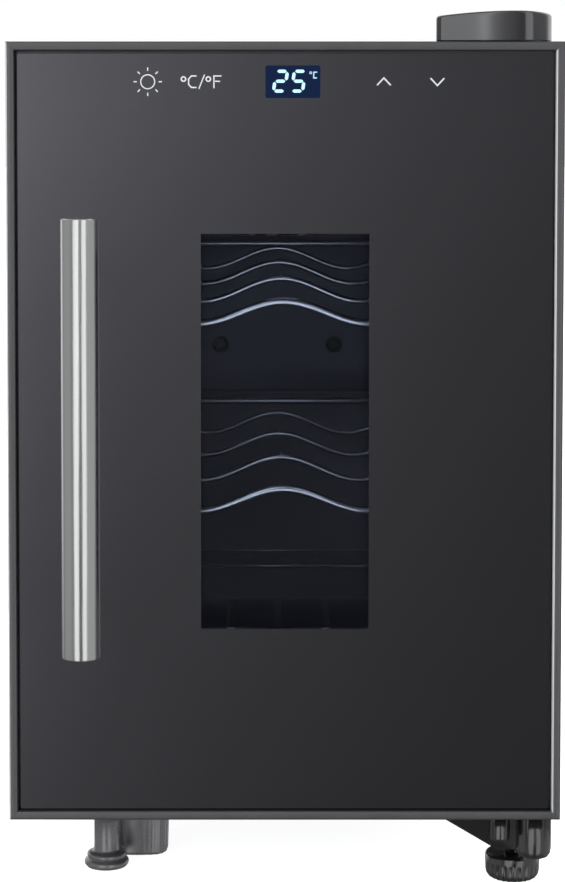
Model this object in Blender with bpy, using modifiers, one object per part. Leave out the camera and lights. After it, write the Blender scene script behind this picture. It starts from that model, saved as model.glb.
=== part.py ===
"""Six-bottle countertop wine cooler, modelled as it comes apart on a bench.

The cooler stands on z = 0 with its middle on the origin: +X to the right, +Y to the back.
Sizes are millimetres, turned into metres by the helpers. A place is (x, depth, z), where
depth counts backwards from the front plane of the closed door.
"""

import math

import bmesh
import bpy
from mathutils import Matrix, Vector

MM = 0.001
GAP = 0.3

# Overall sizes
DOOR_HALF_WIDTH = 126.0
DOOR_HEIGHT = 355.0
FEET_HEIGHT = 40.0
HANDLE_REACH = 43.5
BODY_DEPTH = 491.0
DOOR_BOTTOM = FEET_HEIGHT - 0.6
DOOR_TOP = DOOR_BOTTOM + DOOR_HEIGHT
CABINET_TOP = DOOR_TOP + GAP
CABINET_FRONT = 46.0
CABINET_BACK = 486.0
FRONT_PLANE = (HANDLE_REACH - BODY_DEPTH) / 2

# Door
LIP = 4.05
LIP_ROUNDING = 0.5
FRAME_LEDGE = 10.0
FRAME_DEPTH = 30.0
GLASS_HALF_WIDTH = 120.7
GLASS_FRONT = 1.5
GLASS_BACK = 5.5
CORE_BACK = 29.7
PANEL_BACK = 38.0
PANEL_INSET = 6.0
WINDOW_HALF_WIDTH = 38.1
WINDOW_BOTTOM = 127.5
WINDOW_TOP = 307.8
WINDOW_REVEAL = 9.0
SPACER_WALL = 5.0
PANE_FRONT = 25.4
GASKET_OUTER = (107.0, 59.0, 364.0)
GASKET_INNER = (96.0, 70.0, 353.0)
DISPLAY_X = (-8.9, 15.8)
DISPLAY_Z = (369.0, 383.6)

# Handle
HANDLE_X = -90.1
HANDLE_RADIUS = 8.5
HANDLE_BOTTOM = 122.5
HANDLE_TOP = 316.5
HANDLE_DEPTH = HANDLE_RADIUS - HANDLE_REACH
POST_RADIUS = 4.2
POST_FROM_END = 22.0
SCREW_RADIUS = 2.0
SCREW_HEAD_RADIUS = 4.0
HANDLE_SCREW_DEPTH = (-8.0, 23.5)

# Door hinge
HINGE_X = 114.0
HINGE_DEPTH = 16.0
HINGE_PIN_RADIUS = 3.0
BUSH_RADIUS = 5.0
BUSH_CLEARANCE = 0.1
PLATE_BOTTOM = DOOR_TOP + 0.6
PLATE_TOP = PLATE_BOTTOM + 2.5
PLATE_X = (80.0, 118.0)
PLATE_DEPTH = (11.2, 88.0)
HEAD_TOP = PLATE_TOP + 2.3
HINGE_SCREW_X = 97.0
HINGE_SCREW_DEPTHS = {"front": 60.0, "rear": 80.0}
CAP_X = (68.6, 121.7)
CAP_DEPTH = (3.0, 95.0)
CAP_NOSE_RADIUS = 14.0
CAP_FRONT_CURVE = 0.0038
CAP_CORNERS = (3.0, 7.0)
CAP_TAPER = 7.4
CAP_TOP = 408.4
CAP_WALL = 1.8
BRACKET_X = (67.0, 122.5)
BRACKET_DEPTH = (8.5, 92.0)
BRACKET_TOP = DOOR_BOTTOM - 0.4
BRACKET_PLATE_BOTTOM = BRACKET_TOP - 2.0
BOSS_X = 115.6
BOSS_RADIUS = 8.2
BOSS_BOTTOM = 19.2
PIN_SOCKET_BOTTOM = 25.0
SCREW_BOSS = (99.5, 12.4)
SCREW_BOSS_RADIUS = 4.85
SCREW_BOSS_BOTTOM = 26.7
GUSSET_DEPTH = (18.0, 23.0)
GUSSET_TOE_X = 68.6
GUSSET_HEEL = (98.9, 20.1)
FOOT_SOCKET_RADIUS = 8.0
FOOT_SOCKET_BOTTOM = 17.5

# Cabinet
CABINET_HALF_WIDTH = DOOR_HALF_WIDTH - 1.0
WRAP_THICKNESS = 1.0
LINING_HALF_WIDTH = CABINET_HALF_WIDTH - WRAP_THICKNESS - GAP
BEZEL_BACK = 52.0
INSIDE_HALF_WIDTH = 95.0
FLOOR_Z = 71.0
CEILING_Z = 352.0
STEP_TOP = 91.5
STEP_FRONT = 336.0
REAR_WALL = 381.0
LINER_THICKNESS = 1.5
FOAM_BACK = 409.0
PAN_TOP = FEET_HEIGHT + 2.3
COVER_HALF_WIDTH = 88.0
COVER_Z = (194.4, 345.0)
COVER_DEPTH = (341.0, 377.0)
COVER_THICKNESS = 2.5
COVER_SCREW_X = 34.0
COVER_SCREW_Z = 224.0

# Cooling
COLD_FAN_Z = 311.0
COLD_FAN_HALF = 30.0
COLD_FAN_DEPTH = (345.0, 357.0)
MODULE_Z = 299.0
MODULE_HALF = 20.0
HOT_FAN_HALF = 46.0
HOT_FAN_DEPTH = (447.0, 472.0)
REAR_PANEL_DEPTH = (486.3, 487.8)
VENT_X = ((-95.0, -35.0), (35.0, 95.0))
VENT_BOTTOM = 119.0
COLD_PLATE_DEPTH = (376.0, 380.4)
COLD_SINK_Z = (264.0, 342.0)
COLD_FIN_FRONT = 360.0
BLOCK_BACK = 405.0
HOT_SINK_Z = (239.0, 359.0)
HOT_PLATE_BACK = 415.0
HOT_FIN_BACK = 446.0
INLET_X = 75.0
INLET_Z = 84.0

# Shelves
WAVE_PERIOD = 82.0
WAVE_SWING = 5.9
WAVE_DEPTHS = (58.0, 143.0, 228.0, 313.0)
WAVE_HALF_SPAN = 91.0
WAVE_STEPS = 26
WIRE_RADIUS = 1.5
FRONT_WIRE_RADIUS = 1.9
RAIL_RADIUS = 2.0
RAIL_X = 89.0
RAIL_FRONT = 60.3
REAR_RAIL = 334.0
FRONT_WIRE_DROP = 2.1
FRONT_WIRE_SWING = 5.25
SHELF_CRESTS = {"upper": 274.8, "lower": 184.8}
SHELF_SLOPES = {"upper": 0.033, "lower": 0.006}
REAR_RAIL_RISE = {"upper": 1.0, "lower": 4.3}
LEDGE_INNER_X = 86.0
LEDGE_DEPTH = (62.0, 336.0)
LEDGE_THICKNESS = 3.0

# Feet: (x, depth) of each
LEVELLING_LEFT = (-85.0, 57.0)
LEVELLING_RIGHT = (108.7, 41.0)
FIXED_FRONT = (-71.0, 81.3)
FIXED_HALF = (15.9, 11.8)
FIXED_TAPER = 0.93
REAR_FOOT_X = 95.0
REAR_FOOT_DEPTH = 455.0
REAR_FOOT_RADIUS = 15.9
FOOT_PLATE_BOTTOM = 27.0
STUD_TOP = 34.0
STUD_RADIUS = 4.0
KNOB_TOP = 12.3
KNOB_RADII = (12.95, 12.4)
KNOB_RIBS = 24

BLACK = (0.012, 0.012, 0.014)
DARK = (0.03, 0.03, 0.033)
GREY = (0.12, 0.12, 0.125)
STEEL = (0.45, 0.45, 0.46)
WHITE = (0.75, 0.75, 0.75)


# ---------------------------------------------------------------- scene and helpers

def clear_scene():
    for old in list(bpy.data.objects):
        bpy.data.objects.remove(old, do_unlink=True)


def new_collection(name):
    group = bpy.data.collections.new(name)
    bpy.context.scene.collection.children.link(group)
    return group


clear_scene()
PARTS = new_collection("wine_cooler")
CUTTERS = new_collection("cutters")


def place(x, depth, z):
    """World position in metres of a place given in millimetres."""
    return Vector((x, FRONT_PLANE + depth, z)) * MM


def middle(span):
    return (span[0] + span[1]) / 2


def length_of(span):
    return abs(span[1] - span[0])


def adopt(name, mesh, location, rotation=None):
    obj = bpy.data.objects.new(name, mesh)
    PARTS.objects.link(obj)
    obj.location = location
    if rotation is not None:
        obj.rotation_euler = rotation.to_euler()
    return obj


def smooth(obj, angle=35.0):
    obj.data.shade_smooth()
    obj.data.set_sharp_from_angle(angle=math.radians(angle))
    return obj


def box(name, x, depth, z):
    """A block that fills the three spans."""
    mesh = bpy.data.meshes.new(name)
    shape = bmesh.new()
    size = Vector((length_of(x), length_of(depth), length_of(z))) * MM
    bmesh.ops.create_cube(shape, size=1.0, matrix=Matrix.Diagonal((*size, 1.0)))
    shape.to_mesh(mesh)
    shape.free()
    return adopt(name, mesh, place(middle(x), middle(depth), middle(z)))


TURN_TO = {
    "z": Matrix.Identity(3),
    "depth": Matrix.Rotation(math.radians(-90.0), 3, "X"),
}


def drum(name, centre, radius, span, axis="z", sides=32):
    """A round bar. The span runs along the axis and centre gives the other two places."""
    mesh = bpy.data.meshes.new(name)
    shape = bmesh.new()
    bmesh.ops.create_cone(shape, cap_ends=True, segments=sides, radius1=radius * MM,
                          radius2=radius * MM, depth=length_of(span) * MM)
    shape.to_mesh(mesh)
    shape.free()
    if axis == "z":
        spot = place(centre[0], centre[1], middle(span))
    else:
        spot = place(centre[0], middle(span), centre[1])
    return smooth(adopt(name, mesh, spot, TURN_TO[axis]))


def turned(name, profile, centre, base_z, sides=32):
    """A solid of revolution about a vertical axis. The profile runs from top to bottom."""
    mesh = bpy.data.meshes.new(name)
    points = [(radius * MM, 0.0, height * MM) for radius, height in profile]
    mesh.from_pydata(points, [(i, i + 1) for i in range(len(points) - 1)], [])
    obj = adopt(name, mesh, place(centre[0], centre[1], base_z))
    spin = obj.modifiers.new("Screw", "SCREW")
    spin.steps = sides
    spin.render_steps = sides
    spin.use_merge_vertices = True
    spin.merge_threshold = 0.00001
    return obj


def outline(name, points, thickness):
    """A flat outline in the front view or plan, as a mesh of the given thickness about it."""
    curve = bpy.data.curves.new(name, "CURVE")
    curve.dimensions = "2D"
    curve.fill_mode = "BOTH"
    curve.extrude = thickness * MM / 2
    line = curve.splines.new("POLY")
    line.points.add(len(points) - 1)
    for point, (across, along) in zip(line.points, points):
        point.co = (across * MM, along * MM, 0.0, 1.0)
    line.use_cyclic_u = True
    holder = bpy.data.objects.new(name + "_outline", curve)
    PARTS.objects.link(holder)
    return curve_to_mesh(name, holder)


def wire(name, points, radius):
    """A round wire along the points."""
    curve = bpy.data.curves.new(name, "CURVE")
    curve.dimensions = "3D"
    curve.bevel_depth = radius * MM
    curve.bevel_resolution = 2
    curve.use_fill_caps = True
    line = curve.splines.new("POLY")
    line.points.add(len(points) - 1)
    for point, (x, depth, z) in zip(line.points, points):
        point.co = (*place(x, depth, z), 1.0)
    holder = bpy.data.objects.new(name + "_path", curve)
    PARTS.objects.link(holder)
    return curve_to_mesh(name, holder)


def curve_to_mesh(name, holder):
    """Turn a curve object into a closed mesh object and remove the curve."""
    bpy.context.view_layer.update()
    evaluated = holder.evaluated_get(bpy.context.evaluated_depsgraph_get())
    mesh = bpy.data.meshes.new_from_object(evaluated)
    shape = bmesh.new()
    shape.from_mesh(mesh)
    bmesh.ops.remove_doubles(shape, verts=shape.verts, dist=0.000001)
    bmesh.ops.recalc_face_normals(shape, faces=shape.faces)
    shape.to_mesh(mesh)
    shape.free()
    mesh.name = name
    obj = bpy.data.objects.new(name, mesh)
    obj.matrix_world = holder.matrix_world
    PARTS.objects.link(obj)
    bpy.data.objects.remove(holder, do_unlink=True)
    return obj


def combine(target, tools, operation):
    for tool in tools:
        PARTS.objects.unlink(tool)
        CUTTERS.objects.link(tool)
        tool.hide_render = True
        tool.display_type = "WIRE"
        change = target.modifiers.new(operation.title(), "BOOLEAN")
        change.operation = operation
        change.solver = "EXACT"
        change.object = tool
    return target


def cut(target, *tools):
    return combine(target, tools, "DIFFERENCE")


def join(target, *tools):
    return combine(target, tools, "UNION")


def round_edges(obj, width, segments=2):
    bevel = obj.modifiers.new("Bevel", "BEVEL")
    bevel.width = width * MM
    bevel.segments = segments
    bevel.limit_method = "ANGLE"
    bevel.angle_limit = math.radians(60.0)
    return obj


def paint(obj, colour, roughness, metallic=0.0):
    material = bpy.data.materials.new(obj.name)
    material.use_nodes = True
    shader = material.node_tree.nodes["Principled BSDF"]
    shader.inputs["Base Color"].default_value = (*colour, 1.0)
    shader.inputs["Roughness"].default_value = roughness
    shader.inputs["Metallic"].default_value = metallic
    obj.data.materials.clear()
    obj.data.materials.append(material)
    return obj


def pivot(name, x, depth, z):
    """An empty on a joint's axis."""
    empty = bpy.data.objects.new(name, None)
    empty.location = place(x, depth, z)
    empty.empty_display_size = 0.02
    PARTS.objects.link(empty)
    return empty


def hang_on(parent, *children):
    bpy.context.view_layer.update()
    for child in children:
        child.parent = parent
        child.matrix_parent_inverse = parent.matrix_world.inverted()


def arc_points(centre, radius, start, end, steps):
    """Points on an arc between two angles in degrees."""
    angles = [start + (end - start) * i / steps for i in range(steps + 1)]
    return [(centre[0] + radius * math.cos(math.radians(a)),
             centre[1] + radius * math.sin(math.radians(a))) for a in angles]


def ring_plate(name, half_width, z, depth, inner_half_width, inner_z):
    """A rectangular ring that faces the front."""
    plate = box(name, (-half_width, half_width), depth, z)
    hole_depth = (depth[0] - 1.0, depth[1] + 1.0)
    return cut(plate, box(name + "_hole", (-inner_half_width, inner_half_width), hole_depth, inner_z))


# ---------------------------------------------------------------- door

def door_frame():
    """Metal surround: a thin raised lip in front and a deeper ledge that carries the glass."""
    frame = box("door_frame", (-DOOR_HALF_WIDTH, DOOR_HALF_WIDTH), (0.0, FRAME_DEPTH),
                (DOOR_BOTTOM, DOOR_TOP))
    round_edges(frame, LIP_ROUNDING)
    pocket = DOOR_HALF_WIDTH - LIP
    inner = DOOR_HALF_WIDTH - FRAME_LEDGE
    cut(frame,
        box("frame_pocket", (-pocket, pocket), (-1.0, GLASS_BACK + GAP),
            (DOOR_BOTTOM + LIP, DOOR_TOP - LIP)),
        box("frame_inside", (-inner, inner), (-1.0, FRAME_DEPTH + 1.0),
            (DOOR_BOTTOM + FRAME_LEDGE, DOOR_TOP - FRAME_LEDGE)))
    hinge = (HINGE_X, HINGE_DEPTH)
    for label, span in (("low", (DOOR_BOTTOM - 1.0, DOOR_BOTTOM + FRAME_LEDGE)),
                        ("high", (DOOR_TOP - FRAME_LEDGE, DOOR_TOP + 1.0))):
        cut(frame, drum("bush_seat_" + label, hinge, BUSH_RADIUS + GAP, span))
    return paint(frame, GREY, 0.3, 1.0)


def front_glass():
    glass = box("front_glass", (-GLASS_HALF_WIDTH, GLASS_HALF_WIDTH), (GLASS_FRONT, GLASS_BACK),
                (DOOR_BOTTOM + 5.0, DOOR_TOP - 5.5))
    for label, z in post_heights():
        cut(glass, drum("glass_hole_" + label, (HANDLE_X, z), SCREW_RADIUS + 0.6,
                        (GLASS_FRONT - 1.0, GLASS_BACK + 1.0), "depth", 16))
    return paint(glass, BLACK, 0.05)


def post_heights():
    return (("upper", HANDLE_TOP - POST_FROM_END), ("lower", HANDLE_BOTTOM + POST_FROM_END))


def door_core():
    """Moulded carrier between the glass and the inner panel, with the window opening."""
    half = DOOR_HALF_WIDTH - FRAME_LEDGE - GAP
    front = GLASS_BACK + 0.6
    edge = WINDOW_REVEAL + SPACER_WALL + GAP
    opening = WINDOW_HALF_WIDTH + edge
    core = box("door_core", (-half, half), (front, CORE_BACK),
               (DOOR_BOTTOM + FRAME_LEDGE + GAP, DOOR_TOP - FRAME_LEDGE - GAP))
    cut(core,
        box("core_window", (-opening, opening), (front - 1.0, CORE_BACK + 1.0),
            (WINDOW_BOTTOM - edge, WINDOW_TOP + edge)),
        box("core_display_pocket", (DISPLAY_X[0] - GAP, DISPLAY_X[1] + GAP), (front - 1.0, 15.0),
            (DISPLAY_Z[0] - GAP, DISPLAY_Z[1] + GAP)))
    for label, z in post_heights():
        cut(core,
            drum("core_hole_" + label, (HANDLE_X, z), SCREW_RADIUS + 0.4,
                 (front - 1.0, CORE_BACK + 1.0), "depth", 16),
            drum("core_counterbore_" + label, (HANDLE_X, z), 4.6,
                 (19.7, CORE_BACK + 1.0), "depth", 16))
    return paint(core, BLACK, 0.6)


def display_module():
    module = box("display_module", DISPLAY_X, (GLASS_BACK + GAP, 14.0), DISPLAY_Z)
    return paint(module, BLACK, 0.3)


def window_spacer():
    """Ring between the panes, set back from the clear window on all sides."""
    inner = WINDOW_HALF_WIDTH + WINDOW_REVEAL
    opening = (WINDOW_BOTTOM - WINDOW_REVEAL, WINDOW_TOP + WINDOW_REVEAL)
    spacer = ring_plate("window_spacer", inner + SPACER_WALL,
                        (opening[0] - SPACER_WALL, opening[1] + SPACER_WALL),
                        (GLASS_BACK + 0.6, PANE_FRONT - GAP), inner, opening)
    return paint(spacer, BLACK, 0.4)


def inner_glass():
    edge = WINDOW_REVEAL + SPACER_WALL
    half = WINDOW_HALF_WIDTH + edge
    pane = box("inner_glass", (-half, half), (PANE_FRONT, CORE_BACK - GAP),
               (WINDOW_BOTTOM - edge, WINDOW_TOP + edge))
    return paint(pane, (0.8, 0.85, 0.85), 0.05)


def door_inner_panel():
    half = DOOR_HALF_WIDTH - PANEL_INSET
    panel = box("door_inner_panel", (-half, half), (FRAME_DEPTH + GAP, PANEL_BACK),
                (DOOR_BOTTOM + PANEL_INSET, DOOR_TOP - PANEL_INSET))
    round_edges(panel, 2.0)
    opening = WINDOW_HALF_WIDTH + WINDOW_REVEAL
    cut(panel, box("panel_window", (-opening, opening), (FRAME_DEPTH - 1.0, PANEL_BACK + 1.0),
                   (WINDOW_BOTTOM - WINDOW_REVEAL, WINDOW_TOP + WINDOW_REVEAL)))
    return paint(panel, BLACK, 0.5)


def door_gasket():
    gasket = ring_plate("door_gasket", GASKET_OUTER[0], GASKET_OUTER[1:],
                        (PANEL_BACK + GAP, CABINET_FRONT - GAP), GASKET_INNER[0], GASKET_INNER[1:])
    return paint(gasket, DARK, 0.8)


def handle_bar():
    bar = drum("handle_bar", (HANDLE_X, HANDLE_DEPTH), HANDLE_RADIUS, (HANDLE_BOTTOM, HANDLE_TOP),
               sides=40)
    round_edges(bar, 0.6)
    for label, z in post_heights():
        cut(bar, drum("bar_socket_" + label, (HANDLE_X, z), POST_RADIUS + GAP,
                      (HANDLE_DEPTH + 3.7, 0.0), "depth", 24))
    return paint(bar, STEEL, 0.3, 1.0)


def handle_post(label, z):
    post = drum("handle_post_" + label, (HANDLE_X, z), POST_RADIUS,
                (HANDLE_DEPTH + 4.0, GLASS_FRONT - GAP), "depth", 24)
    cut(post, drum("post_thread_" + label, (HANDLE_X, z), SCREW_RADIUS + GAP,
                   (-9.0, GLASS_FRONT + 1.0), "depth", 16))
    return paint(post, STEEL, 0.3, 1.0)


def handle_screw(label, z):
    tip, head_back = HANDLE_SCREW_DEPTH
    screw = drum("handle_screw_" + label, (HANDLE_X, z), SCREW_RADIUS, (tip, head_back - 1.5),
                 "depth", 12)
    join(screw, drum("screw_head_" + label, (HANDLE_X, z), SCREW_HEAD_RADIUS,
                     (head_back - 3.5, head_back), "depth", 16))
    return paint(screw, STEEL, 0.4, 1.0)


def hinge_bush(label, span):
    centre = (HINGE_X, HINGE_DEPTH)
    bush = drum(label + "_hinge_bush", centre, BUSH_RADIUS, span, sides=24)
    cut(bush, drum(label + "_bush_bore", centre, HINGE_PIN_RADIUS + BUSH_CLEARANCE,
                   (span[0] - 1.0, span[1] + 1.0), sides=24))
    return paint(bush, WHITE, 0.5)


def build_door():
    door = [door_frame(), front_glass(), door_core(), display_module(), window_spacer(),
            inner_glass(), door_inner_panel(), door_gasket(), handle_bar()]
    for label, z in post_heights():
        door.append(handle_post(label, z))
        door.append(handle_screw(label, z))
    door.append(hinge_bush("bottom", (DOOR_BOTTOM + GAP, DOOR_BOTTOM + FRAME_LEDGE - GAP)))
    door.append(hinge_bush("top", (DOOR_TOP - FRAME_LEDGE + GAP, DOOR_TOP - GAP)))
    hang_on(pivot("door_axis", HINGE_X, HINGE_DEPTH, middle((DOOR_BOTTOM, DOOR_TOP))), *door)


# ---------------------------------------------------------------- hinges on the cabinet

def top_hinge():
    plate = box("top_hinge_plate", PLATE_X, PLATE_DEPTH, (PLATE_BOTTOM, PLATE_TOP))
    hinge = (HINGE_X, HINGE_DEPTH)
    through = (PLATE_BOTTOM - 1.0, PLATE_TOP + 1.0)
    cut(plate, drum("plate_pin_hole", hinge, HINGE_PIN_RADIUS + GAP, through, sides=24))
    pin = drum("top_hinge_pin", hinge, HINGE_PIN_RADIUS, (DOOR_TOP - FRAME_LEDGE + GAP, PLATE_TOP + 1.0),
               sides=24)
    join(pin, drum("top_pin_head", hinge, 4.6, (PLATE_TOP + GAP, HEAD_TOP), sides=24))
    paint(pin, STEEL, 0.35, 1.0)
    for label, depth in HINGE_SCREW_DEPTHS.items():
        spot = (HINGE_SCREW_X, depth)
        cut(plate, drum("plate_screw_hole_" + label, spot, SCREW_RADIUS + GAP, through, sides=16))
        screw = drum("top_hinge_screw_" + label, spot, SCREW_RADIUS,
                     (CABINET_TOP - 2.7, PLATE_TOP + 1.0), sides=12)
        join(screw, drum("hinge_screw_head_" + label, spot, SCREW_HEAD_RADIUS,
                         (PLATE_TOP + GAP, HEAD_TOP), sides=16))
        paint(screw, STEEL, 0.4, 1.0)
    return paint(plate, STEEL, 0.4, 1.0)


def cap_outline(inset):
    """Plan of the hinge cap: a round nose over the pin, a curved front and a left side that
    runs in to the back."""
    left, right = CAP_X[0] + inset, CAP_X[1] - inset
    front, back = CAP_DEPTH[0] + inset, CAP_DEPTH[1] - inset
    nose_x = CAP_X[1] - CAP_NOSE_RADIUS
    small, large = CAP_CORNERS
    points = arc_points((nose_x, CAP_DEPTH[0] + CAP_NOSE_RADIUS), CAP_NOSE_RADIUS - inset,
                        0.0, -90.0, 8)
    steps = 5
    for i in range(1, steps + 1):
        x = nose_x + (left + small - nose_x) * i / steps
        points.append((x, front + CAP_FRONT_CURVE * (nose_x - x) ** 2))
    start = points[-1][1] + small
    points += arc_points((left + small, start), small, -120.0, -180.0, 2)
    points += arc_points((left + CAP_TAPER + large, back - large), large, 180.0, 90.0, 4)
    points += arc_points((right - large, back - large), large, 90.0, 0.0, 4)
    return [(x, FRONT_PLANE + depth) for x, depth in points]


def top_hinge_cap():
    """Hollow plastic cap over the hinge plate, open underneath."""
    bottom = PLATE_BOTTOM
    cap = outline("top_hinge_cap", cap_outline(0.0), CAP_TOP - bottom)
    cap.location.z = middle((bottom, CAP_TOP)) * MM
    round_edges(cap, 1.2)
    hollow = outline("cap_hollow", cap_outline(CAP_WALL), CAP_TOP - bottom)
    hollow.location.z = (middle((bottom, CAP_TOP)) - CAP_WALL) * MM
    return paint(cut(cap, hollow), BLACK, 0.15)


def bottom_hinge_bracket():
    """Plate under the cabinet with the pin boss, a gusset, a screw boss and the foot's socket."""
    plate = box("bottom_hinge_bracket", BRACKET_X, BRACKET_DEPTH, (BRACKET_PLATE_BOTTOM, BRACKET_TOP))
    overlap_top = BRACKET_TOP - 1.0
    boss = drum("pin_boss", (BOSS_X, HINGE_DEPTH), BOSS_RADIUS, (BOSS_BOTTOM, overlap_top))
    screw_boss = drum("screw_boss", SCREW_BOSS, SCREW_BOSS_RADIUS, (SCREW_BOSS_BOTTOM, overlap_top),
                      sides=24)
    socket = drum("foot_socket", LEVELLING_RIGHT, FOOT_SOCKET_RADIUS, (FOOT_SOCKET_BOTTOM, overlap_top))
    gusset = outline("gusset", [(GUSSET_TOE_X, overlap_top), GUSSET_HEEL, (BOSS_X, GUSSET_HEEL[1]),
                                (BOSS_X, overlap_top)], length_of(GUSSET_DEPTH))
    gusset.rotation_euler.x = math.radians(90.0)
    gusset.location = place(0.0, middle(GUSSET_DEPTH), 0.0)
    join(plate, boss, screw_boss, socket, gusset)
    cut(plate,
        drum("pin_socket", (HINGE_X, HINGE_DEPTH), HINGE_PIN_RADIUS + GAP,
             (PIN_SOCKET_BOTTOM, BRACKET_TOP + 1.0), sides=24),
        drum("stud_socket", LEVELLING_RIGHT, STUD_RADIUS + 0.4,
             (FOOT_SOCKET_BOTTOM - 1.0, BRACKET_TOP + 1.0), sides=24))
    return paint(plate, BLACK, 0.25)


def bottom_hinge_pin():
    pin = drum("bottom_hinge_pin", (HINGE_X, HINGE_DEPTH), HINGE_PIN_RADIUS,
               (PIN_SOCKET_BOTTOM + GAP, DOOR_BOTTOM + FRAME_LEDGE - GAP), sides=24)
    return paint(pin, STEEL, 0.35, 1.0)


# ---------------------------------------------------------------- cabinet

def outer_wrap():
    """Folded sheet steel: two sides and the top in one piece."""
    half = CABINET_HALF_WIDTH
    wrap = box("outer_wrap", (-half, half), (CABINET_FRONT, CABINET_BACK), (FEET_HEIGHT, CABINET_TOP))
    inner = half - WRAP_THICKNESS
    cut(wrap, box("wrap_inside", (-inner, inner), (CABINET_FRONT - 1.0, CABINET_BACK + 1.0),
                  (FEET_HEIGHT - 1.0, CABINET_TOP - WRAP_THICKNESS)))
    for label, depth in HINGE_SCREW_DEPTHS.items():
        cut(wrap, drum("wrap_screw_hole_" + label, (HINGE_SCREW_X, depth), SCREW_RADIUS + GAP,
                       (CABINET_TOP - 2.0, CABINET_TOP + 1.0), sides=16))
    return paint(wrap, DARK, 0.4, 0.6)


def base_pan():
    half = LINING_HALF_WIDTH
    pan = box("base_pan", (-half, half), (CABINET_FRONT + GAP, CABINET_BACK),
              (FEET_HEIGHT + GAP, PAN_TOP))
    return paint(pan, DARK, 0.5, 0.6)


def front_bezel():
    bezel = ring_plate("front_bezel", LINING_HALF_WIDTH, (PAN_TOP + GAP, CABINET_TOP - 1.3),
                       (CABINET_FRONT, BEZEL_BACK), INSIDE_HALF_WIDTH + LINER_THICKNESS + GAP,
                       (FLOOR_Z - LINER_THICKNESS - GAP, CEILING_Z + LINER_THICKNESS + GAP))
    return paint(bezel, BLACK, 0.5)


def shelf_ledge(label, side):
    """A moulded ledge that a shelf's side rail slides on, sloping up to the back."""
    across = sorted((side * LEDGE_INNER_X, side * (INSIDE_HALF_WIDTH + 0.5)))
    top = rail_height(label, middle(LEDGE_DEPTH)) - RAIL_RADIUS - GAP
    ledge = box(f"ledge_{label}_{side}", across, LEDGE_DEPTH, (top - LEDGE_THICKNESS, top))
    ledge.rotation_euler.x = math.atan(SHELF_SLOPES[label])
    return ledge


def inner_liner():
    """Moulded inner box, open in front, with shelf ledges, a floor rib and a rear step."""
    wall = INSIDE_HALF_WIDTH + LINER_THICKNESS
    liner = box("inner_liner", (-wall, wall), (CABINET_FRONT + 0.2, REAR_WALL + LINER_THICKNESS),
                (FLOOR_Z - LINER_THICKNESS, CEILING_Z + LINER_THICKNESS))
    cut(liner, box("liner_inside", (-INSIDE_HALF_WIDTH, INSIDE_HALF_WIDTH),
                   (CABINET_FRONT - 1.0, REAR_WALL), (FLOOR_Z, CEILING_Z)))
    join(liner, *[shelf_ledge(label, side) for label in SHELF_CRESTS for side in (-1, 1)])
    join(liner,
         box("floor_rib", (-2.0, 2.0), (62.0, STEP_FRONT - 8.0), (FLOOR_Z - 0.5, FLOOR_Z + 1.5)),
         box("rear_step", (-INSIDE_HALF_WIDTH - 0.5, INSIDE_HALF_WIDTH + 0.5),
             (STEP_FRONT, REAR_WALL + 0.5), (FLOOR_Z - 0.5, STEP_TOP)))
    hole = MODULE_HALF + 1.0
    cut(liner, box("liner_block_hole", (-hole, hole), (REAR_WALL - 1.0, REAR_WALL + 3.0),
                   (MODULE_Z - hole, MODULE_Z + hole)))
    return paint(liner, BLACK, 0.45)


def foam_insulation():
    half = LINING_HALF_WIDTH
    foam = box("foam_insulation", (-half, half), (BEZEL_BACK + GAP, FOAM_BACK),
               (PAN_TOP + GAP, CABINET_TOP - 3.0))
    hollow = INSIDE_HALF_WIDTH + LINER_THICKNESS + GAP
    hole = MODULE_HALF + 1.0
    cut(foam,
        box("foam_hollow", (-hollow, hollow), (BEZEL_BACK - 1.0, REAR_WALL + LINER_THICKNESS + GAP),
            (FLOOR_Z - LINER_THICKNESS - GAP, CEILING_Z + LINER_THICKNESS + GAP)),
        box("foam_block_hole", (-hole, hole), (REAR_WALL, FOAM_BACK + 1.0),
            (MODULE_Z - hole, MODULE_Z + hole)))
    return paint(foam, (0.8, 0.72, 0.5), 0.9)


def slots(name, count, first, pitch, width, x, depth):
    """Cutters for a stack of horizontal slots."""
    return [box(f"{name}_{i}", x, depth, (first + i * pitch, first + i * pitch + width))
            for i in range(count)]


def rear_panel():
    """Sheet steel back with the fan opening, vent slots and the cut-out for the inlet."""
    half = CABINET_HALF_WIDTH
    panel = box("rear_panel", (-half, half), REAR_PANEL_DEPTH, (FEET_HEIGHT, CABINET_TOP))
    through = (REAR_PANEL_DEPTH[0] - 1.0, REAR_PANEL_DEPTH[1] + 1.0)
    cut(panel,
        drum("fan_opening", (0.0, MODULE_Z), HOT_FAN_HALF - 2.5, through, "depth", 40),
        box("inlet_opening", (INLET_X - 14.0, INLET_X + 14.0), through,
            (INLET_Z - 10.5, INLET_Z + 10.5)),
        *[vent for x in VENT_X for vent in slots(f"vent_{x[0]}", 7, VENT_BOTTOM, 12.0, 5.0, x, through)])
    return paint(panel, DARK, 0.5, 0.6)


# ---------------------------------------------------------------- cooling unit

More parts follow.
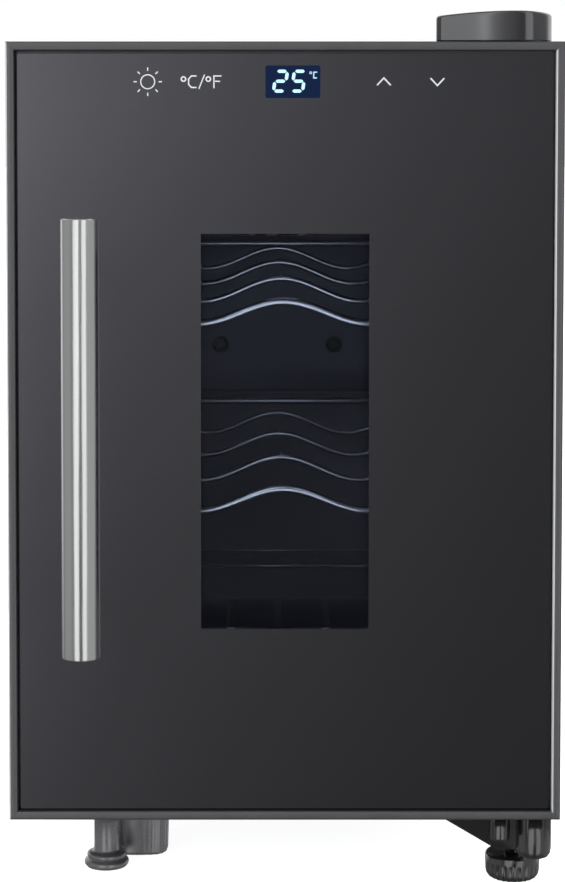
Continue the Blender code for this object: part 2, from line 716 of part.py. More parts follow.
def cold_air_cover():
    """Moulded cover over the cold side, open to the rear wall, with a fan intake."""
    cover = box("cold_air_cover", (-COVER_HALF_WIDTH, COVER_HALF_WIDTH), COVER_DEPTH, COVER_Z)
    round_edges(cover, 2.0)
    inner = COVER_HALF_WIDTH - COVER_THICKNESS
    through = (COVER_DEPTH[0] - 1.0, COVER_DEPTH[0] + 8.0)
    cut(cover, box("cover_hollow", (-inner, inner), (COVER_DEPTH[0] + COVER_THICKNESS, COVER_DEPTH[1] + 1.0),
                   (COVER_Z[0] + COVER_THICKNESS, COVER_Z[1] - COVER_THICKNESS)))
    cut(cover, *slots("intake", 5, COLD_FAN_Z - 22.0, 9.5, 6.0, (-22.0, 22.0), through))
    for side in (-1, 1):
        spans = sorted((side * 60.0, side * 80.0))
        cut(cover, *slots(f"outlet_{side}", 4, 212.0, 12.0, 5.0, spans, through))
        cut(cover, drum(f"cover_screw_hole_{side}", (side * COVER_SCREW_X, COVER_SCREW_Z),
                        SCREW_RADIUS + GAP, through, "depth", 16))
    return paint(cover, BLACK, 0.45)


def cover_screw(label, side):
    spot = (side * COVER_SCREW_X, COVER_SCREW_Z)
    screw = drum("cover_screw_" + label, spot, SCREW_RADIUS, (COVER_DEPTH[0] - 1.5, 378.0), "depth", 12)
    join(screw, drum("cover_plug_" + label, spot, 5.0,
                     (COVER_DEPTH[0] - 2.2, COVER_DEPTH[0] - GAP), "depth", 24))
    return paint(screw, BLACK, 0.3)


def fan_frame(name, z, half, depth, bore):
    """Square axial fan housing with a motor seat on three struts at its back."""
    frame = box(name, (-half, half), depth, (z - half, z + half))
    round_edges(frame, 3.0)
    cut(frame, drum(name + "_bore", (0.0, z), bore, (depth[0] - 1.0, depth[1] + 1.0), "depth", 32))
    seat_depth = (depth[1] - 3.0, depth[1])
    seat = drum(name + "_seat", (0.0, z), bore * 0.34, seat_depth, "depth", 24)
    struts = [box(f"{name}_strut_{i}", (-2.0, 2.0), seat_depth, (0.0, bore + 1.0)) for i in range(3)]
    for i, strut in enumerate(struts):
        turn = Matrix.Rotation(math.radians(120.0 * i), 4, "Y")
        hub = Matrix.Translation(place(0.0, middle(seat_depth), z))
        strut.matrix_world = hub @ turn @ Matrix.Translation(Vector((0.0, 0.0, bore / 2)) * MM)
    join(frame, seat, *struts)
    return paint(frame, BLACK, 0.5)


def fan_rotor(name, z, depth, hub_radius, tip_radius, blades):
    """Fan wheel: a hub with pitched flat blades."""
    rotor = drum(name, (0.0, z), hub_radius, depth, "depth", 24)
    blade_length = tip_radius - hub_radius + 3.0
    chord = length_of(depth) * 1.25
    centre = Matrix.Translation(place(0.0, middle(depth), z))
    for i in range(blades):
        blade = box(f"{name}_blade_{i}", (-chord / 2, chord / 2), (-0.6, 0.6), (0.0, blade_length))
        around = Matrix.Rotation(math.tau * i / blades, 4, "Y")
        outward = Matrix.Translation(Vector((0.0, 0.0, hub_radius - 3.0 + blade_length / 2)) * MM)
        pitch = Matrix.Rotation(math.radians(38.0), 4, "Z")
        blade.matrix_world = centre @ around @ outward @ pitch
        join(rotor, blade)
    return paint(rotor, DARK, 0.4)


def finned_sink(name, half_width, z, base, fin_depth, fins):
    """Extruded heat sink: a base plate with upright fins on one side."""
    sink = box(name, (-half_width, half_width), base, z)
    pitch = (2 * half_width - 1.2) / (fins - 1)
    low, high = sorted(fin_depth)
    for i in range(fins):
        left = -half_width + i * pitch
        join(sink, box(f"{name}_fin_{i}", (left, left + 1.2), (low, high), z))
    return sink


def cooling_unit():
    across = (-MODULE_HALF, MODULE_HALF)
    upright = (MODULE_Z - MODULE_HALF, MODULE_Z + MODULE_HALF)
    cold = finned_sink("cold_sink", 40.0, COLD_SINK_Z, COLD_PLATE_DEPTH,
                       (COLD_FIN_FRONT, COLD_PLATE_DEPTH[0] + 0.5), 7)
    join(cold, box("cold_block", across, (COLD_PLATE_DEPTH[1] - 0.4, BLOCK_BACK), upright))
    paint(cold, STEEL, 0.4, 1.0)
    paint(box("peltier_module", across, (BLOCK_BACK + GAP, FOAM_BACK), upright), WHITE, 0.6)
    hot = finned_sink("hot_sink", 55.0, HOT_SINK_Z, (FOAM_BACK + GAP, HOT_PLATE_BACK),
                      (HOT_PLATE_BACK - 1.0, HOT_FIN_BACK), 9)
    paint(hot, STEEL, 0.4, 1.0)


def cold_fan():
    fan_frame("cold_fan_frame", COLD_FAN_Z, COLD_FAN_HALF, COLD_FAN_DEPTH, 28.0)
    rotor = fan_rotor("cold_fan_rotor", COLD_FAN_Z, (346.0, 353.5), 10.0, 26.0, 5)
    hang_on(pivot("cold_fan_axis", 0.0, middle(COLD_FAN_DEPTH), COLD_FAN_Z), rotor)


def hot_fan():
    fan_frame("hot_fan_frame", MODULE_Z, HOT_FAN_HALF, HOT_FAN_DEPTH, 43.5)
    rotor = fan_rotor("hot_fan_rotor", MODULE_Z, (449.0, 466.0), 16.0, 41.0, 7)
    hang_on(pivot("hot_fan_axis", 0.0, middle(HOT_FAN_DEPTH), MODULE_Z), rotor)


def fan_guard():
    """Finger guard behind the hot fan: rings on a cross of four arms."""
    depth = (REAR_PANEL_DEPTH[1] + GAP, BODY_DEPTH)
    through = (depth[0] - 1.0, depth[1] + 1.0)
    guard = drum("fan_guard", (0.0, MODULE_Z), 47.0, depth, "depth", 40)
    for i, (outer, inner) in enumerate(((43.0, 35.0), (32.5, 24.5), (22.0, 14.0))):
        groove = drum(f"guard_gap_{i}", (0.0, MODULE_Z), outer, through, "depth", 40)
        cut(groove, drum(f"guard_ring_{i}", (0.0, MODULE_Z), inner, through, "depth", 40),
            box(f"guard_arm_x_{i}", (-50.0, 50.0), through, (MODULE_Z - 1.5, MODULE_Z + 1.5)),
            box(f"guard_arm_z_{i}", (-1.5, 1.5), through, (MODULE_Z - 50.0, MODULE_Z + 50.0)))
        cut(guard, groove)
    return paint(guard, BLACK, 0.4)


# ---------------------------------------------------------------- electrics

def power_inlet():
    """Appliance inlet with its socket open to the back."""
    def about(half_width, half_height):
        return ((INLET_X - half_width, INLET_X + half_width), (INLET_Z - half_height, INLET_Z + half_height))

    body, flange, socket = about(13.5, 10.0), about(17.0, 13.0), about(11.8, 8.0)
    inlet = box("power_inlet", body[0], (470.0, 489.0), body[1])
    join(inlet, box("inlet_flange", flange[0], (REAR_PANEL_DEPTH[1] + GAP, 490.0), flange[1]))
    cut(inlet, box("inlet_socket", socket[0], (474.0, 492.0), socket[1]))
    return paint(inlet, BLACK, 0.5)


def electrics():
    power_inlet()
    supply = box("power_supply", (-45.0, 45.0), (FOAM_BACK + GAP, 450.0), (60.0, 125.0))
    paint(supply, STEEL, 0.5, 0.8)
    light = box("interior_light", (-22.0, 22.0), (75.0, 90.0), (CEILING_Z - 5.0, CEILING_Z - GAP))
    paint(light, WHITE, 0.4)
    probe = drum("temperature_probe", (91.5, 325.0), 3.0, (190.0, 214.0), "depth", 16)
    paint(probe, STEEL, 0.4, 1.0)


# ---------------------------------------------------------------- shelves

def crest(label, depth):
    """Height of the wave crests, which rise towards the back."""
    return SHELF_CRESTS[label] + SHELF_SLOPES[label] * (depth - WAVE_DEPTHS[0])


def wave_z(label, x, depth, swing=WAVE_SWING):
    return crest(label, depth) + swing * (math.cos(math.tau * x / WAVE_PERIOD) - 1.0)


def rail_height(label, depth):
    """Height of the side rails, just under the ends of the wave wires."""
    return wave_z(label, WAVE_HALF_SPAN, depth) - WIRE_RADIUS - RAIL_RADIUS - GAP


def shelf_frame(label):
    """Two side rails that bend up and in to the rear rail."""
    corner = 8.0
    bend = REAR_RAIL - corner
    back = crest(label, REAR_RAIL) + REAR_RAIL_RISE[label]
    route = [(-RAIL_X, RAIL_FRONT, rail_height(label, RAIL_FRONT)),
             (-RAIL_X, bend - 10.0, rail_height(label, bend - 10.0)),
             (-RAIL_X, bend, rail_height(label, bend) + 2.0),
             (-RAIL_X + 3.0, REAR_RAIL - 2.0, back - 1.0), (-RAIL_X + corner, REAR_RAIL, back)]
    route += [(-x, depth, z) for x, depth, z in reversed(route)]
    return paint(wire(label + "_shelf_frame", route, RAIL_RADIUS), STEEL, 0.15, 1.0)


def shelf(label):
    """Wire shelf: the frame and four wave wires across it, the front one thicker and lower."""
    pieces = [shelf_frame(label)]
    for number, depth in enumerate(WAVE_DEPTHS, start=1):
        front = number == 1
        radius = FRONT_WIRE_RADIUS if front else WIRE_RADIUS
        swing, drop = (FRONT_WIRE_SWING, FRONT_WIRE_DROP) if front else (WAVE_SWING, 0.0)
        across = [WAVE_HALF_SPAN * (2 * i / WAVE_STEPS - 1) for i in range(WAVE_STEPS + 1)]
        path = [(x, depth, wave_z(label, x, depth, swing) - drop) for x in across]
        pieces.append(paint(wire(f"{label}_shelf_wave_{number}", path, radius), STEEL, 0.15, 1.0))
    hang_on(pivot(label + "_shelf_slide", 0.0, RAIL_FRONT, SHELF_CRESTS[label]), *pieces)


# ---------------------------------------------------------------- feet

def rear_foot(name, x):
    top = FEET_HEIGHT - GAP
    radius = REAR_FOOT_RADIUS
    profile = [(0.0, top), (radius, top), (radius - 1.4, 4.0), (radius - 2.6, 1.2),
               (radius - 4.6, 0.0), (0.0, 0.0)]
    return paint(turned(name, profile, (x, REAR_FOOT_DEPTH), 0.0), DARK, 0.4)


def front_fixed_foot():
    """Moulded block that narrows to its flat bottom."""
    (x, depth), (half_width, half_depth) = FIXED_FRONT, FIXED_HALF
    foot = box("front_fixed_foot", (x - half_width, x + half_width),
               (depth - half_depth, depth + half_depth), (0.0, FEET_HEIGHT - GAP))
    for vertex in foot.data.vertices:
        if vertex.co.z < 0.0:
            vertex.co.x *= FIXED_TAPER
            vertex.co.y *= FIXED_TAPER
    round_edges(foot, 2.0)
    return paint(foot, DARK, 0.4)


def left_foot_plate():
    x, depth = LEVELLING_LEFT
    plate = box("left_foot_plate", (x - 11.0, x + 11.0), (depth - 10.0, depth + 8.0),
                (FOOT_PLATE_BOTTOM, FEET_HEIGHT - GAP))
    round_edges(plate, 2.0)
    cut(plate, drum("left_stud_socket", (x, depth), 6.5, (FOOT_PLATE_BOTTOM - 1.0, STUD_TOP + 1.0),
                    sides=24))
    return paint(plate, DARK, 0.4)


def levelling_foot_left():
    """Round column with a collar at its top and a stepped flange that stands on the surface."""
    profile = [(0.0, STUD_TOP), (6.0, STUD_TOP), (6.0, 26.6), (11.0, 26.6), (11.0, 25.6), (6.0, 22.8),
               (6.0, 8.2), (8.8, 7.4), (9.4, 6.4), (9.3, 5.0), (10.7, 4.2), (10.7, 1.6),
               (9.9, 0.4), (8.4, 0.0), (0.0, 0.0)]
    foot = paint(turned("levelling_foot_left", profile, LEVELLING_LEFT, 0.0), GREY, 0.4)
    hang_on(pivot("left_foot_axis", *LEVELLING_LEFT, 0.0), foot)


def levelling_foot_right():
    """Ribbed knob on a threaded stud."""
    x, depth = LEVELLING_RIGHT
    points = []
    for i in range(KNOB_RIBS * 2):
        radius = KNOB_RADII[i % 2]
        angle = math.tau * i / (KNOB_RIBS * 2)
        points.append((radius * math.cos(angle), radius * math.sin(angle)))
    foot = outline("levelling_foot_right", points, KNOB_TOP)
    foot.location = place(x, depth, KNOB_TOP / 2)
    join(foot, drum("right_stud", (x, depth), STUD_RADIUS, (KNOB_TOP - 2.0, STUD_TOP), sides=20))
    paint(foot, BLACK, 0.35)
    hang_on(pivot("right_foot_axis", x, depth, 0.0), foot)


def feet():
    front_fixed_foot()
    rear_foot("rear_foot_left", -REAR_FOOT_X)
    rear_foot("rear_foot_right", REAR_FOOT_X)
    left_foot_plate()
    levelling_foot_left()
    levelling_foot_right()


def build():
    build_door()
    top_hinge()
    top_hinge_cap()
    bottom_hinge_bracket()
    bottom_hinge_pin()
    outer_wrap()
    base_pan()
    front_bezel()
    inner_liner()
    foam_insulation()
    rear_panel()
    cold_air_cover()
    cover_screw("left", -1)
    cover_screw("right", 1)
    cooling_unit()
    cold_fan()
    hot_fan()
    fan_guard()
    electrics()
    for label in SHELF_CRESTS:
        shelf(label)
    feet()


build()
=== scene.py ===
"""Looks of the six-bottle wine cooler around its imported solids.

Lengths are millimetres, and a place is (x, depth, z): depth counts backwards from the front
plane of the closed door. The helpers turn both into the frame's metres.
"""

import math

import bmesh
import bpy
from mathutils import Matrix, Vector

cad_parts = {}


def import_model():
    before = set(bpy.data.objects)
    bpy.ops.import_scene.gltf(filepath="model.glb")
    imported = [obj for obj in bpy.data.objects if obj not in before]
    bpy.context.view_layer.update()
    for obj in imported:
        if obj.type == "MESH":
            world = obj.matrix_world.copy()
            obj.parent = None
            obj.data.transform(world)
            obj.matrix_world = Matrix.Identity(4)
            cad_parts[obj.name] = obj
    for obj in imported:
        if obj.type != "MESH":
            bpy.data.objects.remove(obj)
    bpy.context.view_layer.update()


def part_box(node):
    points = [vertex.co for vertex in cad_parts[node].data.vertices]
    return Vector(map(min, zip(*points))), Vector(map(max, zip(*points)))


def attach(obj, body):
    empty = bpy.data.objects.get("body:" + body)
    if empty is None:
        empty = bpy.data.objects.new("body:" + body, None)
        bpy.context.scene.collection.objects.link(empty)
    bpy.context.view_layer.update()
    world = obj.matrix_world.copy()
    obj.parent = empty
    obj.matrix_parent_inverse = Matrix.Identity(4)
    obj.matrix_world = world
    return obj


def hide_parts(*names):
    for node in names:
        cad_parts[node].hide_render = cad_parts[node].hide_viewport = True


MM = 0.001
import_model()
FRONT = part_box("door_frame")[0].y / MM


# ---------------------------------------------------------------- places and spans

def at(x, depth, z):
    return Vector((x, FRONT + depth, z)) * MM


def reach(node):
    """Spans of a CAD node along x, depth and z."""
    low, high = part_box(node)
    return ((low.x / MM, high.x / MM), (low.y / MM - FRONT, high.y / MM - FRONT),
            (low.z / MM, high.z / MM))


def middle(span):
    return (span[0] + span[1]) / 2


def arc(centre, radius, start, end, steps):
    """Points on an arc between two angles in degrees."""
    angles = [math.radians(start + (end - start) * i / steps) for i in range(steps + 1)]
    return [(centre[0] + radius * math.cos(a), centre[1] + radius * math.sin(a)) for a in angles]


DOOR_X, DOOR_D, DOOR_Z = reach("door_frame")
GLASS_X, GLASS_D, GLASS_Z = reach("front_glass")
PANE_X, PANE_D, PANE_Z = reach("inner_glass")
SPACER_WALL = 5.0
WINDOW_REVEAL = 9.0
CAVITY_X = (PANE_X[0] + SPACER_WALL, PANE_X[1] - SPACER_WALL)
CAVITY_Z = (PANE_Z[0] + SPACER_WALL, PANE_Z[1] - SPACER_WALL)
WINDOW_X = (CAVITY_X[0] + WINDOW_REVEAL, CAVITY_X[1] - WINDOW_REVEAL)
WINDOW_Z = (CAVITY_Z[0] + WINDOW_REVEAL, CAVITY_Z[1] - WINDOW_REVEAL)
DISPLAY_X, _, DISPLAY_Z = reach("display_module")
ICON_Z = middle(DISPLAY_Z)
SMOOTH_ANGLE = 38.0

# Hinge cap and lower bracket, as on the solids.
CAP_NOSE_RADIUS = 14.0
CAP_FRONT_CURVE = 0.0038
CAP_CORNERS = (3.0, 7.0)
CAP_TAPER = 7.4
CAP_PEAK_X = 105.0
BRACKET_FRONT = 8.5
BRACKET_SHEET = 2.0
BOSS_RADIUS = 8.2
BOSS_PLACE = (115.6, 16.0)
PIN_HOLE_PLACE = (114.0, 16.0)
PIN_HOLE_RADIUS = 3.3
PIN_HOLE_BOTTOM = 25.0
SCREW_BOSS_PLACE = (99.5, 12.4)
SCREW_BOSS_RADIUS = 4.85
SCREW_BOSS_BOTTOM = 26.7
GUSSET_TIP_X = 68.6
GUSSET_FLAT_X = (98.9, 112.0)
GUSSET_BOTTOM = 20.1
GUSSET_DEPTH = (18.0, 23.0)

# Cabin: where its floor and ledges start and end, the rear step, and the shelves.
FLOOR_FRONT = 62.0
STEP_FRONT = 336.0
STEP_TOP = 91.5
LEDGE_X = 86.0
SHELF_MIDDLE = 199.0
SHELF_SLOPES = {"upper": 0.033, "lower": 0.006}
WAVE_PERIOD = 82.0


# ---------------------------------------------------------------- shapes

def block(x, depth, z):
    shape = bmesh.new()
    size = (x[1] - x[0], depth[1] - depth[0], z[1] - z[0])
    place = Matrix.Translation((middle(x), middle(depth), middle(z)))
    bmesh.ops.create_cube(shape, size=1.0, matrix=place @ Matrix.Diagonal((*size, 1.0)))
    return shape


def skin(rings, closed_ends=True):
    """A surface through rings of points, with each end closed by a face."""
    shape = bmesh.new()
    loops = [[shape.verts.new(p) for p in ring] for ring in rings]
    for low, high in zip(loops, loops[1:]):
        for i in range(len(low)):
            j = (i + 1) % len(low)
            shape.faces.new((low[i], low[j], high[j], high[i]))
    if closed_ends:
        shape.faces.new(reversed(loops[0]))
        shape.faces.new(loops[-1])
    bmesh.ops.recalc_face_normals(shape, faces=shape.faces)
    return shape


def turned(profile, centre, axis="z", sides=64, wobble=None):
    """A solid of revolution. The profile holds (radius, place along the axis)."""
    rings = []
    for radius, along in profile:
        ring = []
        for i in range(sides):
            angle = math.tau * i / sides
            r = radius if wobble is None else wobble(radius, along, angle)
            across, up = r * math.cos(angle), r * math.sin(angle)
            if axis == "z":
                ring.append((centre[0] + across, centre[1] + up, along))
            else:
                ring.append((centre[0] + across, along, centre[1] + up))
        rings.append(ring)
    return skin(rings)


def plug(radius, span, centre, axis="depth", sides=96):
    """A plain round solid, mostly to cut a hole."""
    return turned([(0.01, span[0]), (radius, span[0]), (radius, span[1]), (0.01, span[1])], centre,
                  axis, sides)


def tube(path, radius, sides=12, cap=0.35):
    """A round wire along the path with softened ends."""
    points = [Vector(p) for p in path]
    rings = []
    up = Vector((0.0, 1.0, 0.0))
    last = len(points) - 1
    for i, point in enumerate(points):
        ahead = (points[min(i + 1, last)] - points[max(i - 1, 0)]).normalized()
        if abs(ahead.dot(up)) > 0.95:
            up = Vector((0.0, 0.0, 1.0))
        side = ahead.cross(up).normalized()
        up = side.cross(ahead).normalized()
        ring = [side * math.cos(math.tau * k / sides) + up * math.sin(math.tau * k / sides)
                for k in range(sides)]
        if i == 0:
            rings.append([point + r * radius * (1 - cap) for r in ring])
            point = point + ahead * radius * cap
        if i == last:
            rings.append([point - ahead * radius * cap + r * radius for r in ring])
            rings.append([point + r * radius * (1 - cap) for r in ring])
        else:
            rings.append([point + r * radius for r in ring])
    return skin(rings)


def prism(outline, span, axis="z"):
    """A flat outline pushed along an axis. Across depth it is given as (x, z)."""
    if axis == "z":
        rings = [[(x, d, z) for x, d in outline] for z in span]
    elif axis == "depth":
        rings = [[(x, d, z) for x, z in outline] for d in span]
    else:
        rings = [[(x, d, z) for d, z in outline] for x in span]
    return skin(rings)


def rounded_outline(x, z, radius, steps=5):
    """A rectangle with round corners."""
    corners = ((x[1] - radius, z[1] - radius, 0.0), (x[0] + radius, z[1] - radius, 90.0),
               (x[0] + radius, z[0] + radius, 180.0), (x[1] - radius, z[0] + radius, 270.0))
    points = []
    for cx, cz, start in corners:
        points += arc((cx, cz), radius, start, start + 90.0, steps)
    return points


def mitred_ring(profile, x, z, gap=0.0):
    """Four bars with mitred ends round a rectangle. The profile holds (inset, depth)."""
    whole = bmesh.new()
    corners = ((0, 0), (1, 0), (1, 1), (0, 1))
    for k in range(4):
        rings = []
        for corner, toward in ((corners[k], 1), (corners[(k + 1) % 4], -1)):
            ring = []
            for inset, depth in profile:
                cx = x[corner[0]] + (inset if corner[0] == 0 else -inset)
                cz = z[corner[1]] + (inset if corner[1] == 0 else -inset)
                slide = gap * toward * (1 if k < 2 else -1)
                ring.append((cx + (slide if k % 2 == 0 else 0.0), depth,
                             cz + (slide if k % 2 else 0.0)))
            rings.append(ring)
        merge(whole, skin(rings))
    return whole


def merge(target, *others):
    for other in others:
        mesh = bpy.data.meshes.new("scratch")
        other.to_mesh(mesh)
        target.from_mesh(mesh)
        bpy.data.meshes.remove(mesh)
        other.free()
    return target


def turn(shape, matrix, about):
    """Rotate a shape about a place."""
    bmesh.ops.transform(shape, verts=shape.verts,
                        matrix=Matrix.Translation(about) @ matrix
                        @ Matrix.Translation(-Vector(about)))
    return shape


def move(shape, dx=0.0, dd=0.0, dz=0.0):
    bmesh.ops.translate(shape, verts=shape.verts, vec=(dx, dd, dz))
    return shape


def ribbon(points, width, closed=False, ends=0.0):
    """A flat stroke in the plane of the glass, with mitred corners, as thin print."""
    line = [Vector(p) for p in points]
    count = len(line)
    left, right = [], []
    for i, point in enumerate(line):
        back = line[i - 1] if (i > 0 or closed) else None
        front = line[(i + 1) % count] if (i < count - 1 or closed) else None
        into = (point - back).normalized() if back is not None else (front - point).normalized()
        out = (front - point).normalized() if front is not None else into
        along = (into + out).normalized()
        normal = Vector((-along.y, along.x))
        scale = width / 2 / max(0.35, normal.dot(Vector((-into.y, into.x))))
        shift = Vector((0.0, 0.0))
        if back is None:
            shift = -along * ends
        if front is None:
            shift = along * ends
        left.append(point + normal * scale + shift)
        right.append(point - normal * scale + shift)
    shape = bmesh.new()
    layers = []
    for depth in PRINT_D:
        layers.append(([shape.verts.new((p.x, depth, p.y)) for p in left],
                       [shape.verts.new((p.x, depth, p.y)) for p in right]))
    (fl, fr), (bl, br) = layers
    steps = range(count if closed else count - 1)
    for i in steps:
        j = (i + 1) % count
        shape.faces.new((fl[i], fl[j], fr[j], fr[i]))
        shape.faces.new((bl[i], br[i], br[j], bl[j]))
        shape.faces.new((fl[i], bl[i], bl[j], fl[j]))
        shape.faces.new((fr[i], fr[j], br[j], br[i]))
    if not closed:
        for i in (0, count - 1):
            shape.faces.new((fl[i], fr[i], br[i], bl[i]))
    bmesh.ops.recalc_face_normals(shape, faces=shape.faces)
    return shape


# ---------------------------------------------------------------- pieces

def make(name, shape, look, bevel=0.0, segments=3, angle=SMOOTH_ANGLE):
    """An object in the frame's metres from a shape in millimetres."""
    for vert in shape.verts:
        vert.co = at(*vert.co)
    mesh = bpy.data.meshes.new(name)
    shape.to_mesh(mesh)
    shape.free()
    obj = bpy.data.objects.new(name, mesh)
    bpy.context.scene.collection.objects.link(obj)
    mesh.materials.append(look)
    mesh.shade_smooth()
    mesh.set_sharp_from_angle(angle=math.radians(angle))
    if bevel:
        rounding = obj.modifiers.new("Bevel", "BEVEL")
        rounding.width = bevel * MM
        rounding.segments = segments
        rounding.limit_method = "ANGLE"
        rounding.angle_limit = math.radians(angle)
        rounding.harden_normals = True
    return obj


def settle(obj):
    """Apply the object's modifiers."""
    bpy.context.view_layer.update()
    evaluated = obj.evaluated_get(bpy.context.evaluated_depsgraph_get())
    mesh = bpy.data.meshes.new_from_object(evaluated)
    obj.modifiers.clear()
    obj.data = mesh
    return obj


def change(obj, shapes, operation="DIFFERENCE", bevel=0.0):
    """Cut shapes out of an object, or join them to it."""
    settle(obj)
    for shape in shapes:
        tool = settle(make("tool", shape, obj.data.materials[0], bevel=bevel))
        step = obj.modifiers.new("Change", "BOOLEAN")
        step.operation = operation
        step.solver = "EXACT"
        step.object = tool
        settle(obj)
        bpy.data.objects.remove(tool, do_unlink=True)
    obj.data.shade_smooth()
    obj.data.set_sharp_from_angle(angle=math.radians(SMOOTH_ANGLE))
    return obj


def fit(obj, body, slot, *nodes):
    """The piece moves with a body and stands for the nodes named; the slot is not used."""
    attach(obj, body)
    if nodes:
        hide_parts(*nodes)
    return obj


# ---------------------------------------------------------------- materials

def surface(name, colour, roughness, metallic=0.0, tint=0.12, patch=30.0, rough_step=0.05,
            grain=0.0, grain_scale=1800.0, stretch=(1.0, 1.0, 1.0), index=1.5):
    """A Principled material whose colour, roughness and fine relief vary over the surface."""
    made = bpy.data.materials.new(name)
    made.use_nodes = True
    nodes, links = made.node_tree.nodes, made.node_tree.links
    shader = nodes["Principled BSDF"]
    shader.inputs["Metallic"].default_value = metallic
    shader.inputs["IOR"].default_value = index
    place = nodes.new("ShaderNodeTexCoord")
    scaled = nodes.new("ShaderNodeMapping")
    scaled.inputs["Scale"].default_value = stretch
    links.new(place.outputs["Object"], scaled.inputs["Vector"])

    def noise(scale, detail):
        node = nodes.new("ShaderNodeTexNoise")
        node.inputs["Scale"].default_value = scale
        node.inputs["Detail"].default_value = detail
        links.new(scaled.outputs["Vector"], node.inputs["Vector"])
        return node

    broad = noise(patch, 3.0)
    shade = nodes.new("ShaderNodeMix")
    shade.data_type = "RGBA"
    shade.inputs[6].default_value = (*[c * (1 - tint) for c in colour], 1.0)
    shade.inputs[7].default_value = (*[min(1.0, c * (1 + tint)) for c in colour], 1.0)
    links.new(broad.outputs["Fac"], shade.inputs[0])
    links.new(shade.outputs[2], shader.inputs["Base Color"])
    rough = nodes.new("ShaderNodeMapRange")
    rough.inputs["From Min"].default_value = 0.3
    rough.inputs["From Max"].default_value = 0.7
    rough.inputs["To Min"].default_value = max(0.02, roughness - rough_step)
    rough.inputs["To Max"].default_value = roughness + rough_step
    links.new(noise(patch * 3.0, 5.0).outputs["Fac"], rough.inputs["Value"])
    links.new(rough.outputs["Result"], shader.inputs["Roughness"])
    if grain:
        bump = nodes.new("ShaderNodeBump")
        bump.inputs["Strength"].default_value = grain
        bump.inputs["Distance"].default_value = 0.0002
        links.new(noise(grain_scale, 2.0).outputs["Fac"], bump.inputs["Height"])
        links.new(bump.outputs["Normal"], shader.inputs["Normal"])
    return made


def glow(name, colour, strength, base=0.5):
    made = surface(name, [c * base for c in colour], 0.4, tint=0.03)
    shader = made.node_tree.nodes["Principled BSDF"]
    shader.inputs["Emission Color"].default_value = (*colour, 1.0)
    shader.inputs["Emission Strength"].default_value = strength
    return made


def clear_glass(name, colour, index):
    made = surface(name, colour, 0.02, tint=0.02, rough_step=0.01, index=index)
    shader = made.node_tree.nodes["Principled BSDF"]
    shader.inputs["Transmission Weight"].default_value = 1.0
    return made


FRAME_METAL = surface("dark_anodised", (0.1, 0.1, 0.103), 0.38, 0.85, tint=0.06, patch=60.0,
                      grain=0.05, grain_scale=2500.0)
# Painted highlight: a lighter metal put only on the door frame's front edges that face left.
PAINTED_EDGE_HIGHLIGHT = surface("painted_edge_highlight", (0.5, 0.5, 0.51), 0.35, 0.5, tint=0.05, patch=60.0)
PRINTED_GLASS = surface("black_printed_glass", (0.008, 0.008, 0.009), 0.08, tint=0.04,
                        patch=8.0, rough_step=0.01, index=2.0)
PRINTED_GLASS.node_tree.nodes["Principled BSDF"].inputs["Specular Tint"].default_value = (
    0.93, 0.92, 1.0, 1.0)
SMOKED_GLASS = clear_glass("smoked_glass", (0.72, 0.75, 0.84), 1.1)
CLEAR_GLASS = clear_glass("clear_glass", (0.92, 0.95, 0.97), 1.1)
PRINT = glow("pale_print", (0.74, 0.76, 0.78), 0.02, 0.56)
DISPLAY_FACE = surface("display_face", (0.004, 0.009, 0.03), 0.2, tint=0.05, patch=90.0,
                       index=1.1)
DIGIT = glow("display_digit", (0.5, 0.85, 1.0), 0.8, 0.3)
SMALL_DIGIT = glow("display_unit", (0.45, 0.7, 0.9), 0.6, 0.3)
BRUSHED = surface("brushed_stainless", (0.56, 0.56, 0.55), 0.24, 1.0, tint=0.06, patch=25.0,
                  rough_step=0.05, grain=0.12, grain_scale=1500.0, stretch=(1.0, 1.0, 0.03))
STEEL = surface("zinc_steel", (0.5, 0.5, 0.5), 0.35, 1.0, tint=0.1, patch=150.0, grain=0.05)
CHROME = surface("chromed_wire", (0.42, 0.42, 0.43), 0.2, 1.0, tint=0.05, patch=120.0,
                 rough_step=0.04)
ALUMINIUM = surface("extruded_aluminium", (0.62, 0.63, 0.64), 0.38, 0.95, tint=0.06, patch=40.0,
                    grain=0.1, grain_scale=900.0, stretch=(1.0, 1.0, 0.05))
GLOSS_BLACK = surface("gloss_black_plastic", (0.006, 0.006, 0.007), 0.15, tint=0.08, patch=20.0,
                      rough_step=0.03, grain=0.02, grain_scale=500.0, index=1.9)
DARK_PLUG = surface("dark_plug", (0.002, 0.002, 0.003), 0.3, tint=0.08, index=1.2)
GLOSS_PAINT = surface("gloss_black_paint", (0.004, 0.004, 0.004), 0.18, tint=0.1, patch=40.0,
                      grain=0.06, grain_scale=700.0, index=1.9)
SATIN_GREY = surface("satin_grey_plastic", (0.17, 0.17, 0.175), 0.3, 0.7, tint=0.08, patch=60.0,
                     grain=0.04, grain_scale=1200.0)
SATIN_BLACK = surface("satin_black_plastic", (0.018, 0.018, 0.019), 0.34, tint=0.1, patch=50.0,
                      grain=0.08, grain_scale=1500.0)
MATTE_BLACK = surface("matte_black_plastic", (0.02, 0.02, 0.021), 0.55, tint=0.12, patch=40.0,
                      grain=0.15, grain_scale=1300.0)
# Dark plastic whose navy tint is painted blue light from the cabin lamp.
BLUE_LIT_CABIN_PLASTIC = surface("cabin_plastic_painted_blue_light", (0.02, 0.023, 0.054), 0.4, tint=0.1, patch=25.0,
                        grain=0.12, grain_scale=1600.0)
POWDER_COAT = surface("textured_black_paint", (0.022, 0.022, 0.024), 0.42, 0.2, tint=0.1,
                      patch=12.0, grain=0.35, grain_scale=900.0)
ZINC_BLACK = surface("matt_black_sheet", (0.026, 0.026, 0.028), 0.48, 0.4, tint=0.14, patch=15.0,
                     grain=0.15, grain_scale=1400.0)
RUBBER = surface("gasket_rubber", (0.028, 0.028, 0.03), 0.62, tint=0.12, patch=60.0, grain=0.2,
                 grain_scale=1100.0)
